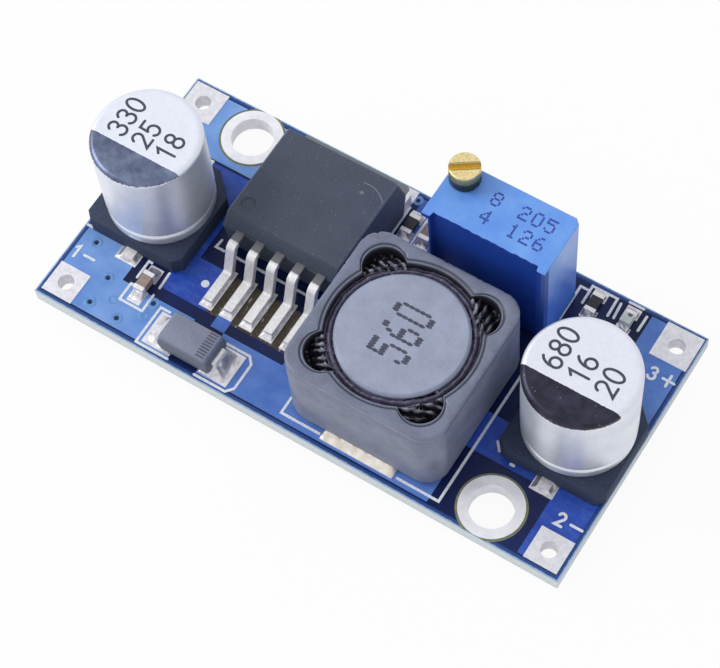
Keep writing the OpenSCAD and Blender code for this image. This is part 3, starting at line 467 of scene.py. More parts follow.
def lead_tin():
    """Dull tin on stamped strips, grey where the regulator's strips leave their case."""
    f = Finish("lead_tin", metallic=0.45)
    grains = f.noise(0.2, 4, 0.6)
    c = f.mix(f.ramp(grains, 0.32, 0.62), tone(222, 221, 222), tone(242, 241, 242))
    x, y, _ = f.axes()
    streaks = f.noise(0.25, 3, 0.6, stretch=(1, 0.25, 1))
    edge = f.sum("ADD", y, f.sum("MULTIPLY", streaks, 0.2))
    # greyer where the strips leave the case
    grey_near_case = f.sum("MULTIPLY", f.ramp(edge, CASE_LOW[1] - 0.72, CASE_LOW[1] - 0.62, 0, 0.9),
                 f.sum("LESS_THAN", f.sum("ABSOLUTE", f.sum("SUBTRACT", x, CASE_LOW[0] + 5.0)), 4.5))
    c = f.mix(grey_near_case, c, tone(96, 98, 104))
    f.set("Base Color", c)
    f.set("Roughness", f.ramp(streaks, 0.3, 0.7, 0.32, 0.5))
    f.bump(grains, 0.008)
    return f.material


def can_metal(name, chord, print_tone, sheen_tone, skirt):
    """Satin aluminium, with a printed segment on its top in front of the chord, which runs over the edge and
    down the side by skirt."""
    f = Finish(name, metallic=0.7)
    _, y, z = f.axes()
    top = box("input_capacitor_can")[1][2]
    up = f.sum("SUBTRACT", top, z)
    brushed = f.noise(0.12, 3, 0.6, stretch=(1, 1, 0.25))
    cloud = f.noise(2.4, 3, 0.5)
    side = f.mix(f.ramp(cloud, 0.3, 0.7), tone(222, 226, 236), tone(240, 242, 250))
    side = f.mix(f.ramp(brushed, 0.35, 0.65, 0, 0.25), side, tone(204, 208, 220))
    lid = f.mix(f.ramp(f.noise(0.25, 3, 0.6), 0.3, 0.7), tone(222, 226, 238), tone(230, 233, 244))
    metal = f.mix(f.sum("LESS_THAN", up, 0.3), side, lid)
    wavy = f.sum("MULTIPLY", f.sum("SUBTRACT", f.noise(0.3, 2, 0.5), 0.5), 0.1)
    front = f.sum("LESS_THAN", f.sum("ADD", y, wavy), chord)
    ragged = f.sum("ADD", f.sum("MULTIPLY", f.sum("SUBTRACT", f.noise(0.2, 3, 0.6, stretch=(1, 1, 0.4)),
                                                  0.5), 0.35),
                   skirt)
    printed = f.sum("MULTIPLY", front, f.sum("LESS_THAN", up, ragged))
    ink = f.mix(f.ramp(f.noise(1.1, 4, 0.6), 0.35, 0.7), print_tone, sheen_tone)
    ink = f.mix(f.sum("MULTIPLY", f.specks(0.4, 0.1), 0.7), ink, tone(140, 146, 166))
    f.set("Base Color", f.mix(printed, metal, ink))
    f.set("Roughness", f.ramp(printed, 0, 1, 0.42, 0.36))
    f.bump(f.sum("ADD", brushed, f.sum("MULTIPLY", cloud, 0.5)), 0.004)
    return f.material


def moulding(name, dark, light, speck, roughness=0.62, grain=0.09, relief=0.012, speck_size=0.3,
             speck_share=0.12,
             level=0.35):
    """A filled moulding resin: fine grain with a few pale specks. level is its sheen at right angles."""
    f = Finish(name, roughness=roughness, Specular_IOR_Level=level)
    fine = f.noise(grain, 4, 0.7)
    broad = f.noise(1.6, 3, 0.5)
    c = f.mix(f.ramp(fine, 0.3, 0.7), tone(*dark), tone(*light))
    c = f.mix(f.ramp(broad, 0.3, 0.7, 0, 0.35), c, tone(*light))
    c = f.mix(f.sum("MULTIPLY", f.specks(speck_size, speck_share), 0.75), c, tone(*speck))
    f.set("Base Color", c)
    f.bump(fine, relief)
    return f


def case_resin():
    """The regulator's resin: lighter along its top edges at both sides with painted highlight and some wear,
    with a small painted glint and an arc of a scratch near its back right corner."""
    f = moulding("case_resin", (50, 57, 71), (84, 92, 110), (140, 146, 158), 0.6, 0.1, 0.016, 0.42, 0.08)
    x, _, z = f.axes()
    ragged = f.sum("MULTIPLY", f.sum("SUBTRACT", f.noise(0.3, 3, 0.6), 0.5), 0.2)
    side = f.sum("MINIMUM", f.sum("SUBTRACT", x, CASE_LOW[0] + 0.28),
                 f.sum("SUBTRACT", CASE_HIGH[0] - 0.28, x))
    # painted highlight along the rounded top edges at both sides, with some wear
    edge_wear_and_highlight = f.ramp(f.sum("ADD", side, ragged), 0.3, 0.12, 0, 0.55, smooth=True)
    edge_wear_and_highlight = f.sum("MULTIPLY", edge_wear_and_highlight, f.sum("GREATER_THAN", z, CASE_HIGH[2] - 0.2))
    centre = CASE_HIGH[:2] - (2.1, 3.5)
    off = f.sum("ABSOLUTE", f.sum("SUBTRACT", f.from_axis(centre[0], centre[1]), 2.0))
    scratch = f.sum("MULTIPLY", f.ramp(off, 0.07, 0.02, 0, 0.6, smooth=True),
                    f.in_box(centre[0] - 0.4, centre[1] + 1.2, centre[0] + 1.6, centre[1] + 2.2))
    glint = f.ramp(f.from_axis(CASE_HIGH[0] - 2.2, CASE_HIGH[1] - 2.3), 0.2, 0.05, 0, 0.8)
    marks = f.sum("MAXIMUM", edge_wear_and_highlight, f.sum("MAXIMUM", scratch, glint))
    c = f.shader.inputs["Base Color"].links[0].from_socket
    f.set("Base Color", f.mix(marks, c, tone(134, 140, 156)))
    return f.material


def diode_resin():
    """The diode's resin, darkened down its sides with painted shade, with a hatched band printed near its right
    end.
    """
    f = moulding("diode_resin", (112, 117, 138), (146, 151, 172), (176, 180, 198), 0.55, 0.09, 0.014, 0.3,
                 0.06)
    _, y, z = f.axes()
    lines = f.sum("GREATER_THAN", f.sum("SINE", f.sum("MULTIPLY", y, 2 * np.pi / 0.24)), -0.2)
    band = f.sum("MULTIPLY", f.in_box(DIODE_HIGH[0] - 1.05, DIODE_LOW[1], DIODE_HIGH[0] - 0.35,
                                      DIODE_HIGH[1]), lines)
    band = f.sum("MULTIPLY", band, f.sum("GREATER_THAN", z, DIODE_HIGH[2] - 0.05))
    # painted shade: the sides darker below the top edge
    low = f.ramp(z, DIODE_HIGH[2] - 0.5, DIODE_HIGH[2] - 0.1, 0.55, 0)
    c = f.shader.inputs["Base Color"].links[0].from_socket
    c = f.mix(low, c, tone(62, 66, 82))
    f.set("Base Color", f.mix(f.sum("MULTIPLY", band, 0.75), c, tone(64, 66, 82)))
    return f.material


def ferrite(name, dark, light, pale, roughness=0.42, spots=0.55):
    """Pressed ferrite under a thin varnish: clouded and finely pitted, with a few pale and dark spots, and
    painted shade, nearly black, where the mesh is marked."""
    f = Finish(name, roughness=roughness, Coat_Weight=0.2, Coat_Roughness=0.3)
    cloud = f.noise(1.5, 4, 0.6)
    c = f.mix(f.ramp(cloud, 0.32, 0.68), tone(*dark), tone(*light))
    c = f.mix(f.ramp(f.noise(0.11, 3, 0.7), 0.3, 0.75, 0, 0.4), c, tone(*pale))
    c = f.mix(f.sum("MULTIPLY", f.specks(1.4, 0.05), 0.5), c, tone(*pale))
    c = f.mix(f.ramp(f.noise(0.6, 2, 0.5, shift=(7, 3, 1)), 0.66, 0.74, 0, spots), c, tone(*dark))
    # painted shade where the mesh is marked: the lip's grooves and the walls down into the opening
    mark = f.node("ShaderNodeAttribute", attribute_name="mark").outputs["Fac"]
    f.set("Base Color", f.mix(mark, c, tone(26, 26, 34)))
    f.bump(f.sum("ADD", f.noise(0.14, 4, 0.7), f.sum("MULTIPLY", cloud, 0.6)), 0.01)
    return f.material


def trimmer_plastic():
    """Blue moulded plastic, a little clouded, painted lighter on top, with painted light on its upper right side
    and painted shade on its front, with fine scratches and specks."""
    f = Finish("trimmer_plastic", roughness=0.36, Specular_IOR_Level=0.35)
    x, y, z = f.axes()
    cloud = f.noise(2.2, 3, 0.55)
    c = f.mix(f.ramp(cloud, 0.3, 0.7), tone(40, 96, 204), tone(56, 116, 222))
    streak = f.noise(0.9, 4, 0.6, stretch=(1, 1, 0.5))
    # painted light on the upper right side, stronger towards the top
    side = f.sum("MULTIPLY", f.sum("GREATER_THAN", x, HOUSING_HIGH[0] - 0.3),
                 f.ramp(f.sum("ADD", z, f.sum("MULTIPLY", streak, 3.0)), HOUSING_HIGH[2] - 4.5,
                        HOUSING_HIGH[2] - 0.5, 0.1, 0.7))
    c = f.mix(side, c, tone(158, 194, 248))
    # the top painted as a lighter, lit copy of the blue
    top = f.sum("GREATER_THAN", z, HOUSING_HIGH[2] - 0.04)
    lid = f.mix(f.ramp(cloud, 0.3, 0.7), tone(98, 152, 238), tone(122, 172, 248))
    c = f.mix(top, c, lid)
    # painted shade on the front faces
    front = f.sum("MULTIPLY", f.ramp(y, HOUSING_LOW[1] + 0.6, HOUSING_LOW[1] + 0.45),
                  f.sum("LESS_THAN", z, HOUSING_HIGH[2] - 0.04))
    c = f.mix(f.sum("MULTIPLY", front, 0.75), c, tone(20, 46, 138))
    c = f.mix(f.sum("MULTIPLY", f.specks(0.7, 0.05), 0.7), c, tone(160, 196, 250))
    f.set("Base Color", c)
    f.bump(f.sum("ADD", f.noise(0.1, 3, 0.6), f.noise(0.8, 2, 0.5)), 0.006)
    return f.material


def brass():
    """Turned brass, pitted, with painted shade round its side."""
    f = Finish("screw_brass", metallic=0.85)
    grain = f.noise(0.16, 4, 0.7)
    c = f.mix(f.ramp(grain, 0.3, 0.6), tone(200, 176, 112), tone(236, 220, 168))
    c = f.mix(f.sum("MULTIPLY", f.specks(0.25, 0.1), 0.6), c, tone(140, 110, 58))
    z = f.axes()[2]
    at = (SCREW_LOW + SCREW_HIGH) / 2
    # painted shade round the side, darker lower down
    side = f.sum("MULTIPLY", f.sum("GREATER_THAN", f.from_axis(at[0], at[1]), 1.07),
                 f.ramp(z, SCREW_HIGH[2] - 0.1, SCREW_HIGH[2] - 0.9, 0.1, 0.95))
    c = f.mix(side, c, tone(46, 50, 52))
    c = f.mix(f.sum("LESS_THAN", f.sum("ABSOLUTE", f.sum("SUBTRACT", z, SCREW_HIGH[2] - 0.6)), 0.02), c,
              tone(255, 222, 96))
    f.set("Base Color", c)
    f.set("Roughness", f.ramp(f.noise(0.3, 3, 0.5), 0.3, 0.7, 0.26, 0.5))
    f.bump(grain, 0.012)
    return f.material


def plain(name, dark, light, size=0.3, roughness=0.5, relief=0.006, metallic=0.0, level=0.4, **values):
    """A finish that wavers between two tones in spots of that size."""
    f = Finish(name, roughness=roughness, metallic=metallic, Specular_IOR_Level=level, **values)
    n = f.noise(size, 4, 0.6)
    f.set("Base Color", f.mix(f.ramp(n, 0.3, 0.7), tone(*dark), tone(*light)))
    f.bump(n, relief)
    return f.material


def ridged_resin():
    """Glossy black resin, with painted highlights in grey on the crests that the mesh marks."""
    f = Finish("black_resin", roughness=0.22, Specular_IOR_Level=0.4)
    n = f.noise(0.3, 4, 0.6)
    c = f.mix(f.ramp(n, 0.3, 0.7), tone(14, 14, 20), tone(34, 34, 44))
    mark = f.node("ShaderNodeAttribute", attribute_name="mark").outputs["Fac"]
    share = f.ramp(f.sum("ADD", mark, f.sum("MULTIPLY", f.sum("SUBTRACT", n, 0.5), 0.8)), 0.25, 0.85, 0, 0.9)
    f.set("Base Color", f.mix(share, c, tone(150, 154, 172)))
    f.bump(n, 0.02)
    return f.material


def light_resin():
    """The light's clear lens, with a dark speck of its die wire and a greenish body."""
    f = Finish("lens_resin", roughness=0.2, Subsurface_Weight=0.2)
    at = middle("light_lens")
    n = f.noise(0.4, 4, 0.6)
    c = f.mix(f.ramp(n, 0.3, 0.7), tone(206, 214, 206), tone(240, 243, 238))
    c = f.mix(f.ramp(f.from_axis(at[0] + 0.1, at[1] + 0.3), 0.22, 0.14, 0, 0.9), c, tone(52, 56, 56))
    f.set("Base Color", c)
    f.bump(n, 0.01)
    return f.material


BARE_STRIP = (-9.95, -5.6, -3.1, -2.25)     # between the regulator's lands: low x, low y, high x, high y
HALO_R = 2.49                   # bare laminate shows round a mounting ring out to this radius
BLUE = board_lacquer()
COPPER_BLUE = copper_lacquer()
PRINT = board_print()
LAND_TIN = tin("land_tin")
SOLDER = tin("solder", light=(228, 226, 232), dark=(166, 164, 172), roughness=0.3, relief=0.02, size=0.5,
             metallic=0.7)
CREAM_SOLDER = tin("cream_solder", light=(236, 231, 222), dark=(206, 196, 180), roughness=0.35, relief=0.01,
                   size=0.7)
RING_TIN = tin("ring_tin", light=(246, 246, 250), dark=(232, 232, 239), relief=0.003, size=0.8, metallic=0.3)
LEAD_TIN = lead_tin()
VIA_FILL = plain("via_fill", (34, 62, 96), (56, 92, 132), 0.2, 0.4)
CAN_IN_METAL = can_metal("can_metal_input", CAN_IN[1] - 1.42, tone(84, 92, 118), tone(122, 133, 162), 0.25)
CAN_OUT_METAL = can_metal("can_metal_output", CAN_OUT[1] - 1.55, tone(34, 34, 46), tone(58, 58, 78), 0.6)
BASE_PLASTIC = moulding("base_plastic", (32, 41, 62), (54, 66, 92), (100, 112, 138), 0.7, 0.12, 0.014, 0.5,
                        0.08).material
CASE_RESIN = case_resin()
DIODE_RESIN = diode_resin()
SHIELD_FERRITE = ferrite("shield_ferrite", (92, 97, 116), (116, 122, 146), (150, 158, 184))
DRUM_FERRITE = ferrite("drum_ferrite", (140, 148, 172), (158, 167, 190), (180, 188, 210), 0.5, 0.3)
RESIN = ridged_resin()
GAP_RESIN = plain("gap_resin", (62, 60, 80), (98, 94, 120), 0.35, 0.3, 0.02)
CAN_PRINT = plain("can_print", (62, 64, 78), (84, 86, 102), 0.2, 0.45, 0.003, 0.5)
CORE_PRINT = plain("core_print", (58, 60, 76), (84, 88, 108), 0.2, 0.5, 0.003)
TRIMMER_PRINT = plain("trimmer_print", (40, 62, 150), (60, 84, 176), 0.2, 0.45, 0.003)
VIA_BLUE = plain("via_lacquer", (96, 140, 204), (124, 166, 220), 0.3, 0.4, 0.004, level=0.2)
WIRE = plain("winding_lacquer", (92, 40, 20), (160, 84, 44), 0.4, 0.25, 0.01, 0.6)
TRIMMER = trimmer_plastic()
SEAL_BLUE = plain("trimmer_seal", (30, 60, 130), (44, 84, 170), 0.5, 0.4, 0.02)
BRASS = brass()
SPRING = plain("wiper_spring", (170, 140, 90), (206, 180, 128), 0.3, 0.3, 0.004, 0.9)
NYLON = plain("gear_nylon", (214, 208, 188), (236, 232, 216), 0.5, 0.45)
RUBBER = plain("seal_rubber", (18, 18, 18), (34, 34, 34), 0.2, 0.75)
CERAMIC = plain("ceramic", (208, 208, 204), (232, 232, 228), 0.4, 0.6)
TRACK = plain("resistor_film", (18, 18, 18), (40, 40, 40), 0.2, 0.5)
CHIP_BLACK = plain("chip_black", (18, 18, 26), (40, 40, 52), 0.3, 0.3)
CHIP_BROWN = plain("chip_brown", (136, 116, 106), (170, 154, 148), 0.25, 0.45)
LENS = light_resin()

NODE_FINISH = {
    "circuit_board": BLUE, "mounting_rings": RING_TIN, "wire_terminals": LAND_TIN, "solder_lands": LAND_TIN,
    "trimmer_hole_rings": LAND_TIN, "input_capacitor_can": CAN_IN_METAL,
    "output_capacitor_can": CAN_OUT_METAL,
    "input_capacitor_base": BASE_PLASTIC, "output_capacitor_base": BASE_PLASTIC,
    "input_capacitor_leads": LEAD_TIN, "output_capacitor_leads": LEAD_TIN,
    "regulator_case": CASE_RESIN, "regulator_tab": LEAD_TIN, "regulator_leads": LEAD_TIN,
    "inductor_shield": SHIELD_FERRITE, "inductor_drum": DRUM_FERRITE, "inductor_winding": WIRE,
    "inductor_glue": RESIN, "inductor_terminals": LEAD_TIN,
    "diode_case": DIODE_RESIN, "diode_terminals": LEAD_TIN,
    "trimmer_housing": TRIMMER, "trimmer_screw": BRASS, "trimmer_seal_ring": RUBBER, "trimmer_gear": NYLON,
    "trimmer_wiper": SPRING, "trimmer_element": CERAMIC, "trimmer_track": TRACK,
    "trimmer_base_seal": SEAL_BLUE, "trimmer_pins": LEAD_TIN, "trimmer_solder": SOLDER,
    "light_base": CERAMIC, "light_lens": LENS, "light_ends": LEAD_TIN,
    "light_resistor": CHIP_BLACK, "light_resistor_ends": LEAD_TIN,
    "ceramic_capacitor": CHIP_BROWN, "ceramic_capacitor_ends": LEAD_TIN,
    "feedback_resistor": CHIP_BLACK, "feedback_resistor_ends": LEAD_TIN,
    "feedback_capacitor": CHIP_BROWN, "feedback_capacitor_ends": LEAD_TIN,
}
for node, material in NODE_FINISH.items():
    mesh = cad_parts[node].data
    mesh.materials.clear()
    mesh.materials.append(material)


# ------------------------------------------------------------- the board

VIA_R = 0.2
VIAS = [(1.6, 5.45), (4.0, 3.5), (4.0, 1.25), (6.4, 1.15), (8.0, 3.45)]      # from the front left corner
TENTED = [(5.3, 2.25), (7.95, 2.25), (19.8, 20.15)]

def bare_notch(centre, r, cut):
    """Points of an outline where bare laminate of radius r interrupts its top side y = cut, from right to
    left:
    clockwise round the circle and under its middle."""
    a = math.asin((cut - centre[1]) / r)
    t = np.linspace(a, -math.pi - a, 40)
    return [(centre[0] + r * math.cos(v), centre[1] + r * math.sin(v)) for v in t]


# Areas of copper under the lacquer, each as its share of painted reflection (strongest on the left) and its
# outline, anticlockwise, from the middle of the board
COPPER_AREAS = [
    (0.9, [(-21.1, -10.0), (-10.2, -10.0), (-10.2, -6.55), (-16.5, -6.55), (-16.5, -4.3), (-17.0, -3.0),
           (-21.1, -3.0)]),
    (0.05, [(-13.95, -5.62), (-9.95, -5.62), (-9.95, -2.2), (-12.7, -2.2), (-12.7, 4.9), (-17.6, 4.9),
            (-17.6, 3.0),
            (-13.95, 3.0)]),
    (0.5, [(-7.85, -10.0), (11.1, -10.0), (11.1, 1.0), (-2.9, 1.0), (-2.9, -6.42), (-7.85, -6.42)]),
    (0.4, [(-9.0, -6.42), (-7.85, -6.42), (-7.85, -5.3), (-9.0, -5.3)]),
    (0.05, [(11.2, -5.1), (18.15, -5.1), (18.15, -10.0), (21.15, -10.0), (21.15, -0.4), (13.2, -0.4),
            (13.2, -2.1),
            (11.2, -2.1)]),
    (1.0, [(-21.1, 5.1), (-11.9, 5.1), (-11.9, 10.0), *bare_notch(-MOUNT, HALO_R, 10.0), (-21.1, 10.0)]),
    (0.65, [(12.2, 0.4), (21.1, 0.4), (21.1, 10.0), (17.3, 10.0), (17.3, 6.6), (12.2, 6.6)]),
    (0.3, [(-1.4, 4.9), (1.6, 4.9), (1.6, 10.0), (-1.4, 10.0)]),
]
COPPER_T = 0.03


def holes_in(outline):
    """The board's holes that lie in an outline, a little wider than they are cut."""
    corner = BOARD_LOW[:2]
    holes = [(corner + v, VIA_R) for v in VIAS]
    wires_low, wires_high = box("wire_terminals")
    holes += [(np.array([x, y]), 0.66) for x in (wires_low[0] + 1.425, wires_high[0] - 1.425)
              for y in (wires_low[1] + 1.275, wires_high[1] - 1.425)]
    loop = np.asarray(outline, float)
    return [circle(r, 28, at) for at, r in holes if inside(at[None, :], loop)[0]]


def copper_areas():
    plates = [pierced(a, holes_in(a), BOARD_TOP - 0.02, BOARD_TOP + COPPER_T) for _, a in COPPER_AREAS]
    # each area's share of painted reflection, as the mark
    mark = np.repeat([light for light, _ in COPPER_AREAS], [len(points) for points, _ in plates])
    piece("lacquered_copper", together(*plates), COPPER_BLUE, mark=mark)


def via_rims():
    """A broad low rim of lacquer round each via, whose section is a half ellipse, and a closed dimple where
    a via is filled."""
    t = np.linspace(0, np.pi, 9)
    section = np.column_stack([0.12 * np.cos(t), 0.03 * np.sin(t)])
    b = np.arange(36) * 2 * np.pi / 36
    rims = []
    for v, hole in [(v, VIA_R) for v in VIAS] + [(v, 0.13) for v in TENTED]:
        at = BOARD_LOW[:2] + v
        r = hole + 0.15 + section[:, :1] + 0 * b
        z = BOARD_TOP + COPPER_T - 0.005 + section[:, 1:] + 0 * b
        rings = np.stack([at[0] + r * np.cos(b), at[1] + r * np.sin(b), z], -1)
        rims.append((rings.reshape(-1, 3), [quads(9, 36, close_rows=True)]))
    piece("via_rims", together(*rims), VIA_BLUE, sharp=60)
    fills = [pierced(circle(VIA_R + 0.01, 28, BOARD_LOW[:2] + v), [circle(0.09, 16, BOARD_LOW[:2] + v)],
                     BOARD_TOP - 0.25, BOARD_TOP - 0.06) for v in VIAS]
    piece("via_fills", together(*fills), VIA_FILL)


PRINT_W, PRINT_T = 0.19, 0.05
STROKES = [
    [(-21.3, -4.1), (-18.4, -4.1)],                                            # input capacitor
    [(-15.45, -4.35), (-15.72, -4.35), (-15.72, -5.85)],                       # ceramic capacitor
    [(-15.55, -6.48), (-15.8, -6.48), (-15.8, -7.92), (-13.85, -7.92), (-13.87, -6.45)],
    [(-13.88, -4.42), (-13.82, -5.75)],
    [(-12.05, -7.0), (-12.85, -7.0), (-12.85, -10.12), (-10.15, -10.12)],      # diode
    [(-7.3, -7.0), (-5.25, -7.0), (-4.8, -7.5), (-4.8, -9.65), (-5.25, -10.15), (-7.85, -10.15)],
    [(-12.15, -0.24), (-12.22, -0.9), (-11.5, -0.9)],                          # regulator
    [(-10.9, -0.9), (-1.6, -0.9)],
    [(2.15, -9.5), (-0.98, -9.5), (-0.98, -7.85)],                             # inductor
    [(8.5, -9.58), (11.78, -9.58), (11.78, 3.1)],
    [(12.45, 9.53), (11.83, 9.53), (11.83, 6.57)],                             # trimmer
    [(12.58, 8.45), (12.56, 9.97), (14.55, 9.97), (14.6, 8.45)],               # light's resistor
    [(14.95, 9.75), (15.05, 8.5)], [(17.0, 9.75), (16.98, 8.5)], [(15.42, 10.17), (16.53, 10.17)],
    [(-1.9, 6.4), (-1.9, 8.9)], [(-0.28, 6.4), (-0.28, 8.9)], [(-0.1, 6.3), (1.0, 6.3)],
    [(12.95, -3.75), (13.4, -4.3)], [(14.55, -4.75), (14.8, -4.75)],           # output capacitor
]
SIGN_W = 0.2
SIGNS = [
    [(-20.05, -6.3), (-19.2, -6.3)],
    [(20.25, -6.5), (21.1, -6.5)],
    [(20.25, 6.15), (21.1, 6.15)], [(20.68, 5.7), (20.68, 6.6)],
    [(-20.05, 6.2), (-19.2, 6.2)], [(-19.62, 5.77), (-19.62, 6.63)],
]
TERMINAL_NUMBERS = [("1", -21.0, -6.8), ("2", 19.2, -7.0), ("3", 19.2, 5.65), ("4", -21.0, 5.7)]


def ribbon(points, width):
    """The outline, anticlockwise, of a line with round ends and mitred corners."""
    p = np.asarray(points, float)
    d = np.diff(p, axis=0)
    d /= np.linalg.norm(d, axis=1)[:, None]
    n = np.column_stack([-d[:, 1], d[:, 0]])
    first, last = np.vstack([n[:1], n]), np.vstack([n, n[-1:]])
    m = first + last
    m *= width / 2 / (m * first).sum(1)[:, None]
    a = np.linspace(0, np.pi, 9)[1:-1, None]
    front = p[-1] + width / 2 * (-np.cos(a) * n[-1] + np.sin(a) * d[-1])
    back = p[0] + width / 2 * (np.cos(a) * n[0] - np.sin(a) * d[0])
    return np.concatenate([p - m, front, (p + m)[::-1], back])


def stroke(points, width, low, high):
    """A flat line along points (x, y). It closes on itself where the last point is the first."""
    if np.allclose(points[0], points[-1]):
        section = [(width / 2, low), (width / 2, high), (-width / 2, high), (-width / 2, low)]
        return bar(at_height(points[:-1], 0), section, (0, 0, 1), closed=True)
    return slab(ribbon(points, width), low, high)


def prints():
    low, high = BOARD_TOP - 0.01, BOARD_TOP + PRINT_T
    lines = [stroke(s, PRINT_W, low, high + 0.002 * k) for k, s in enumerate(STROKES)]
    lines += [stroke(s, SIGN_W, low, high + 0.004 * k) for k, s in enumerate(SIGNS)]
    for text, x, y in TERMINAL_NUMBERS:
        lines.append(figures(text, (x, y), 1.0, high, SIGN_W, (1, 0)))
    lines.append(slab(circle(0.3, 32, (-11.2, -3.8)), low, high))
    piece("board_print", together(*lines), PRINT, sharp=40)


# --------------------------------------------------------- the capacitors

def can_shape(centre, low, high):
    """A drawn can: a rounded top edge, a crimped groove over its foot and a rolled foot."""
    r, top_r, foot_r, groove_z, groove = 4.0, 0.42, 0.7, low + 1.45, 0.16
    a = np.linspace(0, np.pi / 2, 9)
    foot = np.column_stack([r - 0.03 - foot_r + foot_r * np.sin(a), low + foot_r - foot_r * np.cos(a)])
    z = np.linspace(low + foot_r + 0.1, low + 2.4, 26)
    wall = np.column_stack([r - 0.03 * (z < groove_z) - groove * np.exp(-((z - groove_z) / 0.17) ** 2), z])
    top = np.column_stack([r - top_r + top_r * np.cos(a), high - top_r + top_r * np.sin(a)])
    lid = [(3.3, high - 0.015), (3.1, high - 0.02), (1.5, high - 0.02)]
    return turned(np.vstack([foot, wall, [(r, low + 2.8)], top, lid]), centre[:2], 128)


def base_shape(centre, low, high):
    """The can's base plate: square, with two corners cut and a sloped rim round the seat."""
    h, big, small = 4.1, 1.8, 0.6
    x, y = centre[0], centre[1]
    outline = np.array([(x - h + small, y - h), (x + h - small, y - h), (x + h, y - h + small),
                        (x + h, y + h - big),
                        (x + h - big, y + h), (x - h + big, y + h), (x - h, y + h - big),
                        (x - h, y - h + small)])
    return slab(outline, low, high, edge=0.16)


def capacitor(side, centre, metal):
    can, base = f"{side}_capacitor_can", f"{side}_capacitor_base"
    piece(f"{side}_can", can_shape(centre, box(can)[0][2], box(can)[1][2]), metal, can, sharp=40)
    low, high = box(base)
    mid = (low + high) / 2
    piece(f"{side}_base", base_shape(mid, low[2], high[2]), BASE_PLASTIC, base)
    leads_low, leads_high = box(f"{side}_capacitor_leads")
    feet = []
    for s, tip in ((-1, leads_low[1]), (1, leads_high[1])):
        land_end, foot_end = tip + s * 0.3, mid[1] + s * 3.6
        ys = sorted([land_end, mid[1] + s * 3.4])
        fs = sorted([tip, foot_end])
        feet.append(mound((centre[0] - 0.9, ys[0], centre[0] + 0.9, ys[1]),
                          (centre[0] - 0.45, fs[0], centre[0] + 0.45, fs[1]), 0.24, LAND_TOP - 0.01, 1.8,
                          0.02, 3))
    piece(f"{side}_capacitor_solder", together(*feet), SOLDER, sharp=50)


# ----------------------------------------------------------- the regulator

def lid_with_dimple(outline, z, at, r, deep):
    """A flat lid with a round dimple pressed into it."""
    ring = circle(r, 40, at)
    xy, tris = filled(outline, [ring])
    lid = (at_height(xy, z), [tris])
    rings = np.stack([at_height(ring, z), at_height(circle(r - 0.03, 40, at), z - deep * 0.8),
                      at_height(circle(r - 0.08, 40, at), z - deep)])
    wall = (rings.reshape(-1, 3), [quads(3, 40)[:, ::-1], (80 + np.arange(40))[None, :]])
    return together(lid, wall)


def regulator_case():
    """A moulded case: drafted sides above and below the parting line, with a soft top edge."""
    low, high = CASE_LOW, CASE_HIGH
    split, draft, under = low[2] + 2.71, 0.4, 0.2
    levels = [(low[2], under), (split - 0.04, 0.0), (split - 0.02, 0.0), (split + 0.02, 0.0),
              (split + 0.05, 0.03), (high[2] - 0.12, draft - 0.03), (high[2] - 0.04, draft + 0.03),
              (high[2], draft + 0.12)]
    rings = [at_height(rounded(low[:2] + d, high[:2] - d, 0.16), z) for z, d in levels]
    body = stack(rings, top=False)
    dimple = (low[0] + 1.4, low[1] + 1.6)
    lid = lid_with_dimple(rings[-1][:, :2], high[2], dimple, 0.55, 0.12)
    piece("regulator_body", together(body, lid), CASE_RESIN, "regulator_case")


def regulator_leads():
    """Five strips bent in a gull wing, and the solder that climbs to each foot."""
    low, high = box("regulator_leads")
    front = CASE_LOW[1]
    pitch, w, t = 1.7, 0.72, 0.48
    z = LAND_TOP + np.array([2.71, 2.71, t / 2, t / 2])
    y = front - np.array([-1.2, 1.1, 1.95, 4.67])
    mid = (low[0] + high[0]) / 2
    strips, feet = [], []
    for k in range(-2, 3):
        x = mid + k * pitch
        line = bent(np.column_stack([np.full(4, x), y, z]), 0.45, 8)
        strips.append(bar(line, strip_section(t, w, 0.04), (1, 0, 0)))
        tip = y[-1]
        feet.append(mound((x - 0.54, tip - 0.45, x + 0.54, tip + 2.9), (x - 0.36, tip, x + 0.36, tip + 2.4),
                          0.15, LAND_TOP - 0.01, 2.2, 0.01, 11 + k))
    piece("regulator_lead_strips", together(*strips), LEAD_TIN, "regulator_leads", sharp=30)
    piece("regulator_solder", together(*feet), SOLDER, sharp=50)


# ------------------------------------------------------------ the inductor

SHIELD_HALF, CORNER_R, TOP_R = 6.15, 1.7, 0.2
OPENING_R, POCKET_R, POCKET_OUT = 5.25, 1.5, 5.15


def square_reach(a, half, corner):
    """Distance from the middle of a rounded square to its side, in the direction a."""
    a = np.abs((a + np.pi / 4) % (np.pi / 2) - np.pi / 4)
    c = half - corner
    flat = half / np.cos(a)
    b = c * (np.cos(a) + np.sin(a))
    arc = b + np.sqrt(np.maximum(b ** 2 - 2 * c ** 2 + corner ** 2, 0))
    return np.where(half * np.tan(a) <= c, flat, arc)


def pocket_reach(a):
    """Distance from the middle to the edge of the opening with its four round pockets, in the direction a.
    Where a pocket meets the round opening, the corner between them is blended."""
    d = (a % (np.pi / 2)) - np.pi / 4
    s = POCKET_OUT * np.sin(d)
    pocket = POCKET_OUT * np.cos(d) + np.sqrt(np.maximum(POCKET_R ** 2 - s ** 2, 0))
    blend = 0.14
    return (pocket + OPENING_R + np.sqrt((pocket - OPENING_R) ** 2 + blend ** 2)) / 2 - 0.01


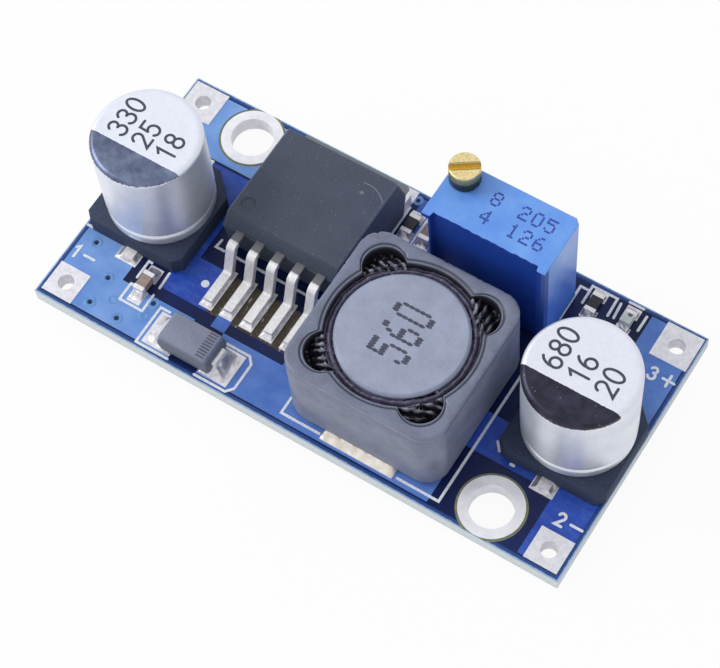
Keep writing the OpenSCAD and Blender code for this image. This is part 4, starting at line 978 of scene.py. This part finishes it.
def inductor_shield():
    """The shield as rings round its axis: up the outside, over the top edge, in to the stepped lip of the
    opening with its pockets, down to the pockets' floor and on down the bore."""
    n = 480
    a = np.arange(n) * 2 * np.pi / n
    low, high = SHIELD_LOW[2], SHIELD_HIGH[2]
    out, bore, pocket = square_reach(a, SHIELD_HALF, CORNER_R), np.full(n, OPENING_R), pocket_reach(a)
    rng = np.random.default_rng(8)
    chips = sum(rng.uniform(0.02, 0.07) * np.exp(-((a - c) / rng.uniform(0.006, 0.02)) ** 2)
                for c in rng.uniform(0, 2 * np.pi, 26))
    q = np.linspace(0, np.pi / 2, 5)
    rows = [(bore, low, 0), (out - 0.3, low, 0)]
    rows += [(out - 0.3 + 0.3 * np.sin(t), low + 0.3 - 0.3 * np.cos(t), 0) for t in q[1:]]
    line = high - 0.62                                     # the press tool's parting line
    rows += [(out, line - 0.05, 0), (out - 0.03, line, 0), (out, line + 0.05, 0)]
    rows += [(out - chips - TOP_R + TOP_R * np.cos(t), high - TOP_R + TOP_R * np.sin(t), 0) for t in q]
    # each row's third number is its share of painted shade: the lip's grooves and the walls down into the
    # opening
    lip = [(0.42, 0.0, 0), (0.38, -0.02, 0.5), (0.33, -0.1, 0.9), (0.27, -0.12, 0.5), (0.2, -0.05, 0),
           (0.12, -0.06, 0.1), (0.07, -0.16, 0.9), (0.0, -0.3, 1)]
    rows += [(pocket + r, high + z, m) for r, z, m in lip]
    rows += [(pocket, high - 2.4, 1), (bore, high - 2.42, 1), (bore, low, 1)]
    r = np.array([row[0] + 0 * a for row in rows])
    z = np.array([np.full(n, row[1]) for row in rows])
    points = np.stack([SHIELD[0] + r * np.cos(a), SHIELD[1] + r * np.sin(a), z], -1)
    mark = np.repeat([row[2] for row in rows[:-1]], n)
    piece("inductor_frame", (points[:-1].reshape(-1, 3), [quads(len(rows) - 1, n, close_rows=True)]),
          SHIELD_FERRITE, "inductor_shield", sharp=40, mark=mark)


def inductor_core():
    """The drum core: two discs with sloped rims on a post."""
    low, high = box("inductor_drum")[0][2], box("inductor_drum")[1][2]
    r, slope, disc, post = 4.62, 0.2, 1.2, 2.5
    profile = [(r - slope, low), (r, low + slope), (r, low + disc), (post, low + disc), (post, high - disc),
               (r, high - disc), (r, high - slope), (r - slope * 0.5, high - slope * 0.3), (r - slope, high)]
    piece("inductor_core", turned(profile, SHIELD[:2], 128), DRUM_FERRITE, "inductor_drum", sharp=30)


def gap_resin():
    """The cast ring between core and frame: a bead between two narrow grooves, whose height wavers round
    the ring."""
    n, m = 360, 15
    a = np.arange(n) * 2 * np.pi / n
    s = np.linspace(0, 1, m)
    inner, outer = 4.64, OPENING_R - 0.01
    r = inner + (outer - inner) * s[:, None] + 0 * a
    wave = (0.06 * np.sin(5 * a + 1) + 0.05 * np.sin(13 * a) + 0.04 * np.sin(29 * a + 2) +
            0.02 * np.sin(71 * a))
    bead = 0.3 * np.sin(np.pi * np.clip((s[:, None] - 0.1) / 0.66, 0, 1)) ** 0.7 + 0.1 * (s[:, None] > 0.85)
    top = SHIELD_HIGH[2] - 0.68 + wave + bead
    floor = SHIELD_HIGH[2] - 2.3
    z = np.vstack([np.full((1, n), floor), top, np.full((1, n), floor)])
    r = np.vstack([r[:1], r, r[-1:]])
    points = np.stack([SHIELD[0] + r * np.cos(a), SHIELD[1] + r * np.sin(a), z], -1)
    piece("gap_resin", (points.reshape(-1, 3), [quads(m + 2, n, close_rows=True)[:, ::-1]]), GAP_RESIN,
          sharp=60)


def pocket_resin():
    """A lump of resin in each pocket over the wire ends that cross it. Its height over the pocket is a row
    of ridges, each at its own height, with a bead along the opening's round edge and a low outer side.
    Points that would reach into the core are pushed out to its rim."""
    lumps, marks = [], []
    for k, (lean, shift) in enumerate(((0.9, 0.1), (0.45, 0.35), (-0.5, 0.2), (1.15, 0.0))):
        turn = np.pi / 4 + k * np.pi / 2
        n, m = 120, 34
        a = np.arange(n) * 2 * np.pi / n
        r = (POCKET_R - 0.015) * np.linspace(1, 0.01, m)[:, None] + 0 * a
        x, y = r * np.cos(a), r * np.sin(a)
        across = -x * np.sin(turn + lean) + y * np.cos(turn + lean)
        along = x * np.cos(turn + lean) + y * np.sin(turn + lean)
        w = across / 0.5 + shift + 0.12 * np.sin(2.1 * along + k)
        crest = np.abs(np.cos(np.pi * w)) ** 0.8
        ridge = crest * (0.3 + 0.1 * np.sin(2.3 * np.round(w) + k))
        px, py = x + POCKET_OUT * np.cos(turn), y + POCKET_OUT * np.sin(turn)
        far = np.hypot(px, py)
        bead = 0.42 * np.exp(-((far - OPENING_R - 0.12) / 0.16) ** 2) * (0.7 + 0.3 * np.sin(9 * a))
        hollow = -0.5 * np.exp(-((far - 6.35) / 0.3) ** 2)
        z = SHIELD_HIGH[2] - 0.85 + ridge + bead + hollow + 0.05 * np.sin(7 * px + 3 * py) * np.sin(5 * py)
        push = np.maximum(1, 4.65 / far)
        px, py = px * push, py * push
        # painted highlights on the crests and the bead, fewer in the hollow
        light = np.clip((crest - 0.55) * 1.5, 0, 1) * np.clip(1 + 1.6 * hollow, 0, 1) + bead
        light = np.clip(light * (0.75 + 0.25 * np.sin(6 * px + 5 * py)), 0, 1)
        px, py, light = (np.vstack([v[:1], v]) for v in (px, py, light))
        z = np.vstack([np.full((1, n), SHIELD_HIGH[2] - 2.38), np.minimum(z, SHIELD_HIGH[2] - 0.28)])
        lumps.append(stack(np.stack([SHIELD[0] + px, SHIELD[1] + py, z], -1)))
        marks.append(light.ravel())
    piece("pocket_resin", together(*lumps), RESIN, "inductor_glue", sharp=75, mark=np.concatenate(marks))


def inductor_solder():
    low, high = box("inductor_terminals")
    x = (low[0] + high[0]) / 2
    feet = []
    for s in (-1, 1):
        edge = SHIELD[1] + s * SHIELD_HALF
        ys, fs = sorted([edge + s * 0.55, edge - s * 1.2]), sorted([edge - s * 0.1, edge - s * 1.2])
        feet.append(mound((x - 2.92, ys[0], x + 2.92, ys[1]), (x - 2.7, fs[0], x + 2.7, fs[1]), 0.42,
                          LAND_TOP - 0.01,
                          1.4, 0.05, 5 + s, (60, 16)))
    piece("inductor_solder", together(*feet), CREAM_SOLDER, sharp=50)


# --------------------------------------------------------------- the diode

def diode():
    low, high = DIODE_LOW, DIODE_HIGH
    split, draft = LAND_TOP + 1.04, 0.19
    levels = [(low[2], 0.1), (split - 0.03, 0.0), (split + 0.03, 0.0), (high[2] - 0.12, draft - 0.02),
              (high[2] - 0.04, draft + 0.03), (high[2], draft + 0.12)]
    piece("diode_body", stack([at_height(rounded(low[:2] + d, high[:2] - d, 0.2), z) for z, d in levels]),
          DIODE_RESIN, "diode_case")
    mid = (low + high) / 2
    w, t, out = 1.45, 0.2, 0.35
    strips, feet = [], []
    for s in (-1, 1):
        end = mid[0] + s * (2.15 + out - t / 2)
        line = np.array([(mid[0] + s * 1.7, mid[1], split), (end, mid[1], split),
                         (end, mid[1], LAND_TOP + t / 2),
                         (mid[0] + s * 1.4, mid[1], LAND_TOP + t / 2)])
        strips.append(bar(bent(line, 0.18, 7), strip_section(t, w, 0.03), (0, 1, 0)))
        xs = sorted([mid[0] + s * 3.585, mid[0] + s * 1.2])
        fs = sorted([mid[0] + s * 2.5, mid[0] + s * 1.4])
        feet.append(mound((xs[0], mid[1] - 1.34, xs[1], mid[1] + 1.34),
                          (fs[0], mid[1] - 0.72, fs[1], mid[1] + 0.72),
                          0.75 if s > 0 else 0.4, LAND_TOP - 0.01, 2.4, 0.03, 20 + s, (40, 30)))
    piece("diode_strips", together(*strips), LEAD_TIN, "diode_terminals", sharp=30)
    piece("diode_solder", together(*feet), SOLDER, sharp=50)


# ------------------------------------------------------------- the trimmer

PANEL, PANEL_IN = 0.4, 0.65     # the front panel's depth, and how far it lies from the ends


def housing_outline(notch_x, notch_y):
    """The housing seen from above: a rectangle with a notch at its front left corner, a shallow panel in its
    front face and a slope at its back right corner."""
    (x0, y0), (x1, y1) = HOUSING_LOW[:2], HOUSING_HIGH[:2]
    return np.array([(x0 + PANEL_IN, y0 + PANEL), (x1 - PANEL_IN, y0 + PANEL), (x1 - PANEL_IN, y0), (x1, y0),
                     (x1, y1 - 0.35), (x1 - 0.35, y1), (x0, y1), (x0, y0 + notch_y),
                     (x0 + notch_x, y0 + notch_y),
                     (x0 + notch_x, y0), (x0 + PANEL_IN, y0)])


def trimmer_housing():
    low, high = HOUSING_LOW[2] + 0.2, HOUSING_HIGH[2]
    (x0, y0), (x1, y1) = HOUSING_LOW[:2], HOUSING_HIGH[:2]
    lip = high - 0.45
    body = slab(housing_outline(0.5, 1.2), low, lip, foot=0.06)
    rng = np.random.default_rng(4)
    x = np.linspace(x0 + PANEL_IN + 0.05, x1 - PANEL_IN - 0.05, 60)
    flash = np.convolve(rng.uniform(-1, 1, 62), (0.3, 0.4, 0.3), "valid") * 0.07    # a ragged moulded edge
    front = np.column_stack([x, y0 + PANEL - 0.02 + flash])
    top = np.vstack([[(x0, y0), (x0 + PANEL_IN - 0.05, y0)], front,
                     [(x1 - PANEL_IN + 0.05, y0), (x1, y0), (x1, y1 - 0.35),
                                                                    (x1 - 0.35, y1), (x0, y1)]])
    soft = top.copy()
    mid = np.array([(x0 + x1) / 2, (y0 + y1) / 2])
    soft += np.clip(mid - top, -0.05, 0.05)
    cap = stack([at_height(top, lip), at_height(top, high - 0.05), at_height(soft, high)])
    feet = [slab(rounded((x, y), (x + 0.35, y + 0.35), 0.05, 3), HOUSING_LOW[2], low + 0.05)
            for x in (x0 + 0.5, x1 - 0.85) for y in (y0 + 1.2, y1 - 0.85)]
    piece("trimmer_body", together(body, cap, *feet), TRIMMER, "trimmer_housing", sharp=20)


def trimmer_screw():
    """The screw in one: a slotted head, plain bearings and between them the worm, whose radius at a height
    and
    angle rises where the thread passes."""
    mid = (SCREW_LOW + SCREW_HIGH) / 2
    x, y, top = mid[0], mid[1], SCREW_HIGH[2]
    r, slot_w, slot_deep, turn = 1.117, 0.42, 0.6, math.radians(33.5)
    under = HOUSING_HIGH[2] + 0.04
    head = turned([(r - 0.06, under), (r, under + 0.06), (r, top - slot_deep)], (x, y), 64)
    halves = []
    half = math.asin(slot_w / 2 / r)
    for flip in (0, np.pi):
        a = np.linspace(half, np.pi - half, 40) + turn + flip
        outline = np.column_stack([x + r * np.cos(a), y + r * np.sin(a)])
        halves.append(stack([at_height(outline, top - slot_deep), at_height(outline, top - 0.1),
                             at_height(inset(outline, 0.03), top - 0.03),
                             at_height(inset(outline, 0.09), top)]))
    shaft_r, core_r, worm_r, pitch, turns = 0.4, 0.5, 0.8, 0.56, 6
    gear_z = HOUSING_LOW[2] + 0.2 + 5.0
    n = 48
    a = np.arange(n) * 2 * np.pi / n
    z = np.linspace(gear_z - turns * pitch / 2, gear_z + turns * pitch / 2, 8 * 2 * turns + 1)[:, None]
    phase = ((z - gear_z) / pitch - a / (2 * np.pi)) % 1
    off = np.minimum(phase, 1 - phase) * pitch
    rise = np.clip((0.13 - off) / (0.13 - 0.06), 0, 1)
    rad = core_r + (worm_r - core_r) * rise
    worm = stack(np.stack([x + rad * np.cos(a), y + rad * np.sin(a), z + 0 * a], -1))
    low = SCREW_LOW[2]
    shaft = turned([(shaft_r, low), (shaft_r, HOUSING_HIGH[2] - 1.1), (worm_r, HOUSING_HIGH[2] - 1.09),
                    (worm_r, HOUSING_HIGH[2] - 0.8), (0.56, HOUSING_HIGH[2] - 0.79),
                    (0.56, HOUSING_HIGH[2] - 0.51),
                    (worm_r, HOUSING_HIGH[2] - 0.5), (worm_r, under + 0.02)], (x, y), 48)
    piece("trimmer_screw_turned", together(head, *halves, worm, shaft), BRASS, "trimmer_screw",
          "adjusting_screw")


# --------------------------------------------------------- the chip parts

def chip_solder():
    feet = []
    for node, land_l in (("light_base", 0.85), ("light_resistor", 0.85), ("ceramic_capacitor", 1.22),
                         ("feedback_resistor", 0.85), ("feedback_capacitor", 0.85)):
        m = middle(node)
        for s in (-1, 1):
            ys = sorted([m[1] + s * (0.4 + land_l), m[1] + s * 0.42])
            fs = sorted([m[1] + s * 0.8, m[1] + s * 0.5])
            feet.append(mound((m[0] - 0.54, ys[0], m[0] + 0.54, ys[1]),
                              (m[0] - 0.4, fs[0], m[0] + 0.4, fs[1]),
                              0.36, LAND_TOP - 0.01, 2.0, 0.02, int(10 * abs(m[0])) + s, (20, 20)))
    piece("chip_solder", together(*feet), SOLDER, sharp=50)


# ------------------------------------------------------- numbers in print

def arc(cx, cy, rx, ry, start, end, steps=14):
    a = np.radians(np.linspace(start, end, steps))
    return np.column_stack([cx + rx * np.cos(a), cy + ry * np.sin(a)]).tolist()


DIGITS = {      # strokes in a box 0.56 wide and 1 high
    "0": [arc(0.28, 0.5, 0.26, 0.48, 90, 450, 28)],
    "1": [[(0.1, 0.78), (0.32, 0.96), (0.32, 0.02)]],
    "2": [arc(0.28, 0.71, 0.24, 0.25, 165, -35) + [(0.05, 0.04), (0.54, 0.04)]],
    "3": [arc(0.26, 0.74, 0.23, 0.22, 160, -80), arc(0.26, 0.28, 0.26, 0.26, 82, -160)],
    "4": [[(0.4, 0.02), (0.4, 0.96), (0.04, 0.3), (0.56, 0.3)]],
    "5": [[(0.5, 0.96), (0.1, 0.96), (0.08, 0.5)], arc(0.27, 0.31, 0.26, 0.3, 138, -150)],
    "6": [arc(0.46, 0.36, 0.42, 0.6, 108, 172, 10), arc(0.28, 0.29, 0.24, 0.27, 90, 450, 24)],
    "8": [arc(0.28, 0.74, 0.21, 0.22, 90, 450, 22), arc(0.28, 0.27, 0.25, 0.25, 90, 450, 24)],
}


def figures(text, start, height, z, line, along):
    """Plain figures of that height which start at a place and run in the direction along."""
    along = np.array(along, float)
    up = np.array([-along[1], along[0]])
    lines = []
    for k, c in enumerate(text):
        for j, s in enumerate(DIGITS[c]):
            p = np.asarray(s, float) * height + (k * height * 0.72, 0)
            xy = np.asarray(start, float) + p[:, :1] * along + p[:, 1:] * up
            lines.append(stroke(xy, line, z - 0.02, z + 0.012 + 0.003 * j))
    return together(*lines)


DOT_DIGITS = {      # seven rows of five dots, from the top
    "0": "01110 10001 10001 10001 10001 10001 01110",
    "1": "00100 01100 00100 00100 00100 00100 01110",
    "2": "01110 10001 00001 00110 01000 10000 11111",
    "4": "00010 00110 01010 10010 11111 00010 00010",
    "5": "11111 10000 11110 00001 00001 10001 01110",
    "6": "00110 01000 10000 11110 10001 10001 01110",
    "8": "01110 10001 10001 01110 10001 10001 01110",
}


def dotted(text, start, size, gap, z, dot, along):
    """Figures of printed dots. size is a figure's (width, height), and dot is a dot's (width, height)."""
    along = np.array(along, float)
    up = np.array([-along[1], along[0]])
    a = np.arange(10) * 2 * np.pi / 10
    dots = []
    for k, c in enumerate(text):
        for row, marks in enumerate(DOT_DIGITS[c].split()):
            for col in np.flatnonzero(np.array(list(marks)) == "1"):
                x = k * (size[0] + gap) + col * size[0] / 4 + dot[0] / 2 * np.cos(a)
                y = size[1] * (1 - row / 6) + dot[1] / 2 * np.sin(a)
                xy = np.asarray(start, float) + x[:, None] * along + y[:, None] * up
                dots.append(slab(xy, z - 0.02, z + 0.01 + 0.002 * ((row + col) % 3)))
    return together(*dots)


def printed_numbers():
    """Plain figures where the parts carry print."""
    lid = box("input_capacitor_can")[1][2] - 0.02
    rows = []
    for at, texts in ((CAN_IN, ("330", "25", "18")), (CAN_OUT, ("680", "16", "20"))):
        for k, text in enumerate(texts):
            rows.append(figures(text, (at[0] - 1.3 + 2.0 * k, at[1] - 0.85), 1.5, lid, 0.19, (0, 1)))
    piece("can_numbers", together(*rows), CAN_PRINT, sharp=40)
    core = dotted("560", (SHIELD[0] + 1.25, SHIELD[1] - 1.95), (0.88, 2.6), 0.66, box("inductor_drum")[1][2],
                  (0.25, 0.5), (0, 1))
    piece("core_number", core, CORE_PRINT, sharp=40)
    rows = [dotted(text, (HOUSING_LOW[0] + x, HOUSING_LOW[1] + y), (0.58, 0.96), 0.4, HOUSING_HIGH[2],
                   (0.16, 0.17),
                   (1, 0)) for text, x, y in (("8", 3.6, 2.9), ("205", 5.75, 2.9), ("4", 3.6, 1.35),
                   ("126", 5.75, 1.35))]
    piece("trimmer_numbers", together(*rows), TRIMMER_PRINT, sharp=40)


copper_areas()
via_rims()
prints()
capacitor("input", CAN_IN, CAN_IN_METAL)
capacitor("output", CAN_OUT, CAN_OUT_METAL)
regulator_case()
regulator_leads()
inductor_shield()
inductor_core()
gap_resin()
pocket_resin()
inductor_solder()
diode()
trimmer_housing()
trimmer_screw()
chip_solder()
printed_numbers()


# --------------------------------------------- floor, light and the camera

def floor():
    mesh = bpy.data.meshes.new("floor")
    s, z = 3.0, box("trimmer_pins")[0][2] * MM
    mesh.from_pydata([(-s, -s, z), (s, -s, z), (s, s, z), (-s, s, z)], [], [(0, 1, 2, 3)])
    obj = bpy.data.objects.new("floor", mesh)
    bpy.context.scene.collection.objects.link(obj)
    material = bpy.data.materials.new("floor_white")
    material.use_nodes = True
    tree = material.node_tree
    shader = tree.nodes["Principled BSDF"]
    shader.inputs["Base Color"].default_value = (0.92, 0.92, 0.92, 1)
    shader.inputs["Roughness"].default_value = 0.9
    shader.inputs["Specular IOR Level"].default_value = 0.0
    glow = tree.nodes.new("ShaderNodeEmission")
    glow.inputs["Color"].default_value = (1, 1, 1, 1)
    path = tree.nodes.new("ShaderNodeLightPath")
    seen = tree.nodes.new("ShaderNodeMath")
    seen.operation = "MAXIMUM"
    tree.links.new(path.outputs["Is Camera Ray"], seen.inputs[0])
    tree.links.new(path.outputs["Is Glossy Ray"], seen.inputs[1])
    share = tree.nodes.new("ShaderNodeMath")
    share.operation = "MULTIPLY"
    share.inputs[1].default_value = 0.93
    tree.links.new(seen.outputs[0], share.inputs[0])
    mix = tree.nodes.new("ShaderNodeMixShader")
    tree.links.new(share.outputs[0], mix.inputs[0])
    tree.links.new(shader.outputs[0], mix.inputs[1])
    tree.links.new(glow.outputs[0], mix.inputs[2])
    tree.links.new(mix.outputs[0], tree.nodes["Material Output"].inputs["Surface"])
    mesh.materials.append(material)


def sky():
    """A white surround, and a softer light from it on the part."""
    world = bpy.data.worlds.new("surround")
    bpy.context.scene.world = world
    world.use_nodes = True
    tree = world.node_tree
    tree.nodes.clear()
    out = tree.nodes.new("ShaderNodeOutputWorld")
    path = tree.nodes.new("ShaderNodeLightPath")
    soft, seen, mix = (tree.nodes.new(k) for k in ("ShaderNodeBackground", "ShaderNodeBackground",
                                                   "ShaderNodeMixShader"))
    soft.inputs["Color"].default_value = (0.96, 0.98, 1.0, 1)
    soft.inputs["Strength"].default_value = 0.68
    seen.inputs["Color"].default_value = (1, 1, 1, 1)
    any_seen = tree.nodes.new("ShaderNodeMath")
    any_seen.operation = "MAXIMUM"
    both = tree.nodes.new("ShaderNodeMath")
    both.operation = "MAXIMUM"
    tree.links.new(path.outputs["Is Camera Ray"], any_seen.inputs[0])
    tree.links.new(path.outputs["Is Glossy Ray"], any_seen.inputs[1])
    tree.links.new(any_seen.outputs[0], both.inputs[0])
    tree.links.new(path.outputs["Is Transmission Ray"], both.inputs[1])
    tree.links.new(both.outputs[0], mix.inputs[0])
    tree.links.new(soft.outputs[0], mix.inputs[1])
    tree.links.new(seen.outputs[0], mix.inputs[2])
    tree.links.new(mix.outputs[0], out.inputs[0])


def lamp(name, place, aim, size, watts, colour=(1, 1, 1)):
    """A square soft light at place, in metres, turned to aim."""
    data = bpy.data.lights.new(name, "AREA")
    data.size, data.energy, data.color = size, watts, colour
    obj = bpy.data.objects.new(name, data)
    bpy.context.scene.collection.objects.link(obj)
    place, aim = np.array(place, float), np.array(aim, float)
    z = (place - aim) / np.linalg.norm(place - aim)
    x = np.cross((0, 0, 1), z)
    x /= np.linalg.norm(x)
    obj.matrix_world = Matrix([[*row, p] for row, p in zip(np.column_stack([x, np.cross(z, x), z]), place)]
                              + [[0, 0, 0, 1]])


def camera():
    """A long lens from the front right and well above, rolled a little."""
    azimuth, elevation, roll = np.radians([38.81, 62.709, -7.301])
    back = np.array([np.sin(azimuth) * np.cos(elevation), -np.cos(azimuth) * np.cos(elevation),
                     np.sin(elevation)])
    level = np.array([np.cos(azimuth), np.sin(azimuth), 0])
    lift = np.cross(back, level)
    right = np.cos(roll) * level + np.sin(roll) * lift
    up = np.cos(roll) * lift - np.sin(roll) * level
    place = 158.251 * back - 0.463 * right - 1.396 * up + [0, 0, BOARD_TOP]
    data = bpy.data.cameras.new("camera")
    data.lens = 112.43
    data.clip_start, data.clip_end = 0.01, 20
    obj = bpy.data.objects.new("camera", data)
    bpy.context.scene.collection.objects.link(obj)
    obj.matrix_world = Matrix([[*row, p * MM] for row, p in zip(np.column_stack([right, up, back]), place)]
                              + [[0, 0, 0, 1]])
    bpy.context.scene.camera = obj


floor()
sky()
lamp("key", (-0.36, -0.1, 0.3), (0, 0, 0), 0.22, 1.0)
camera()
bpy.context.scene.view_settings.view_transform = "Standard"
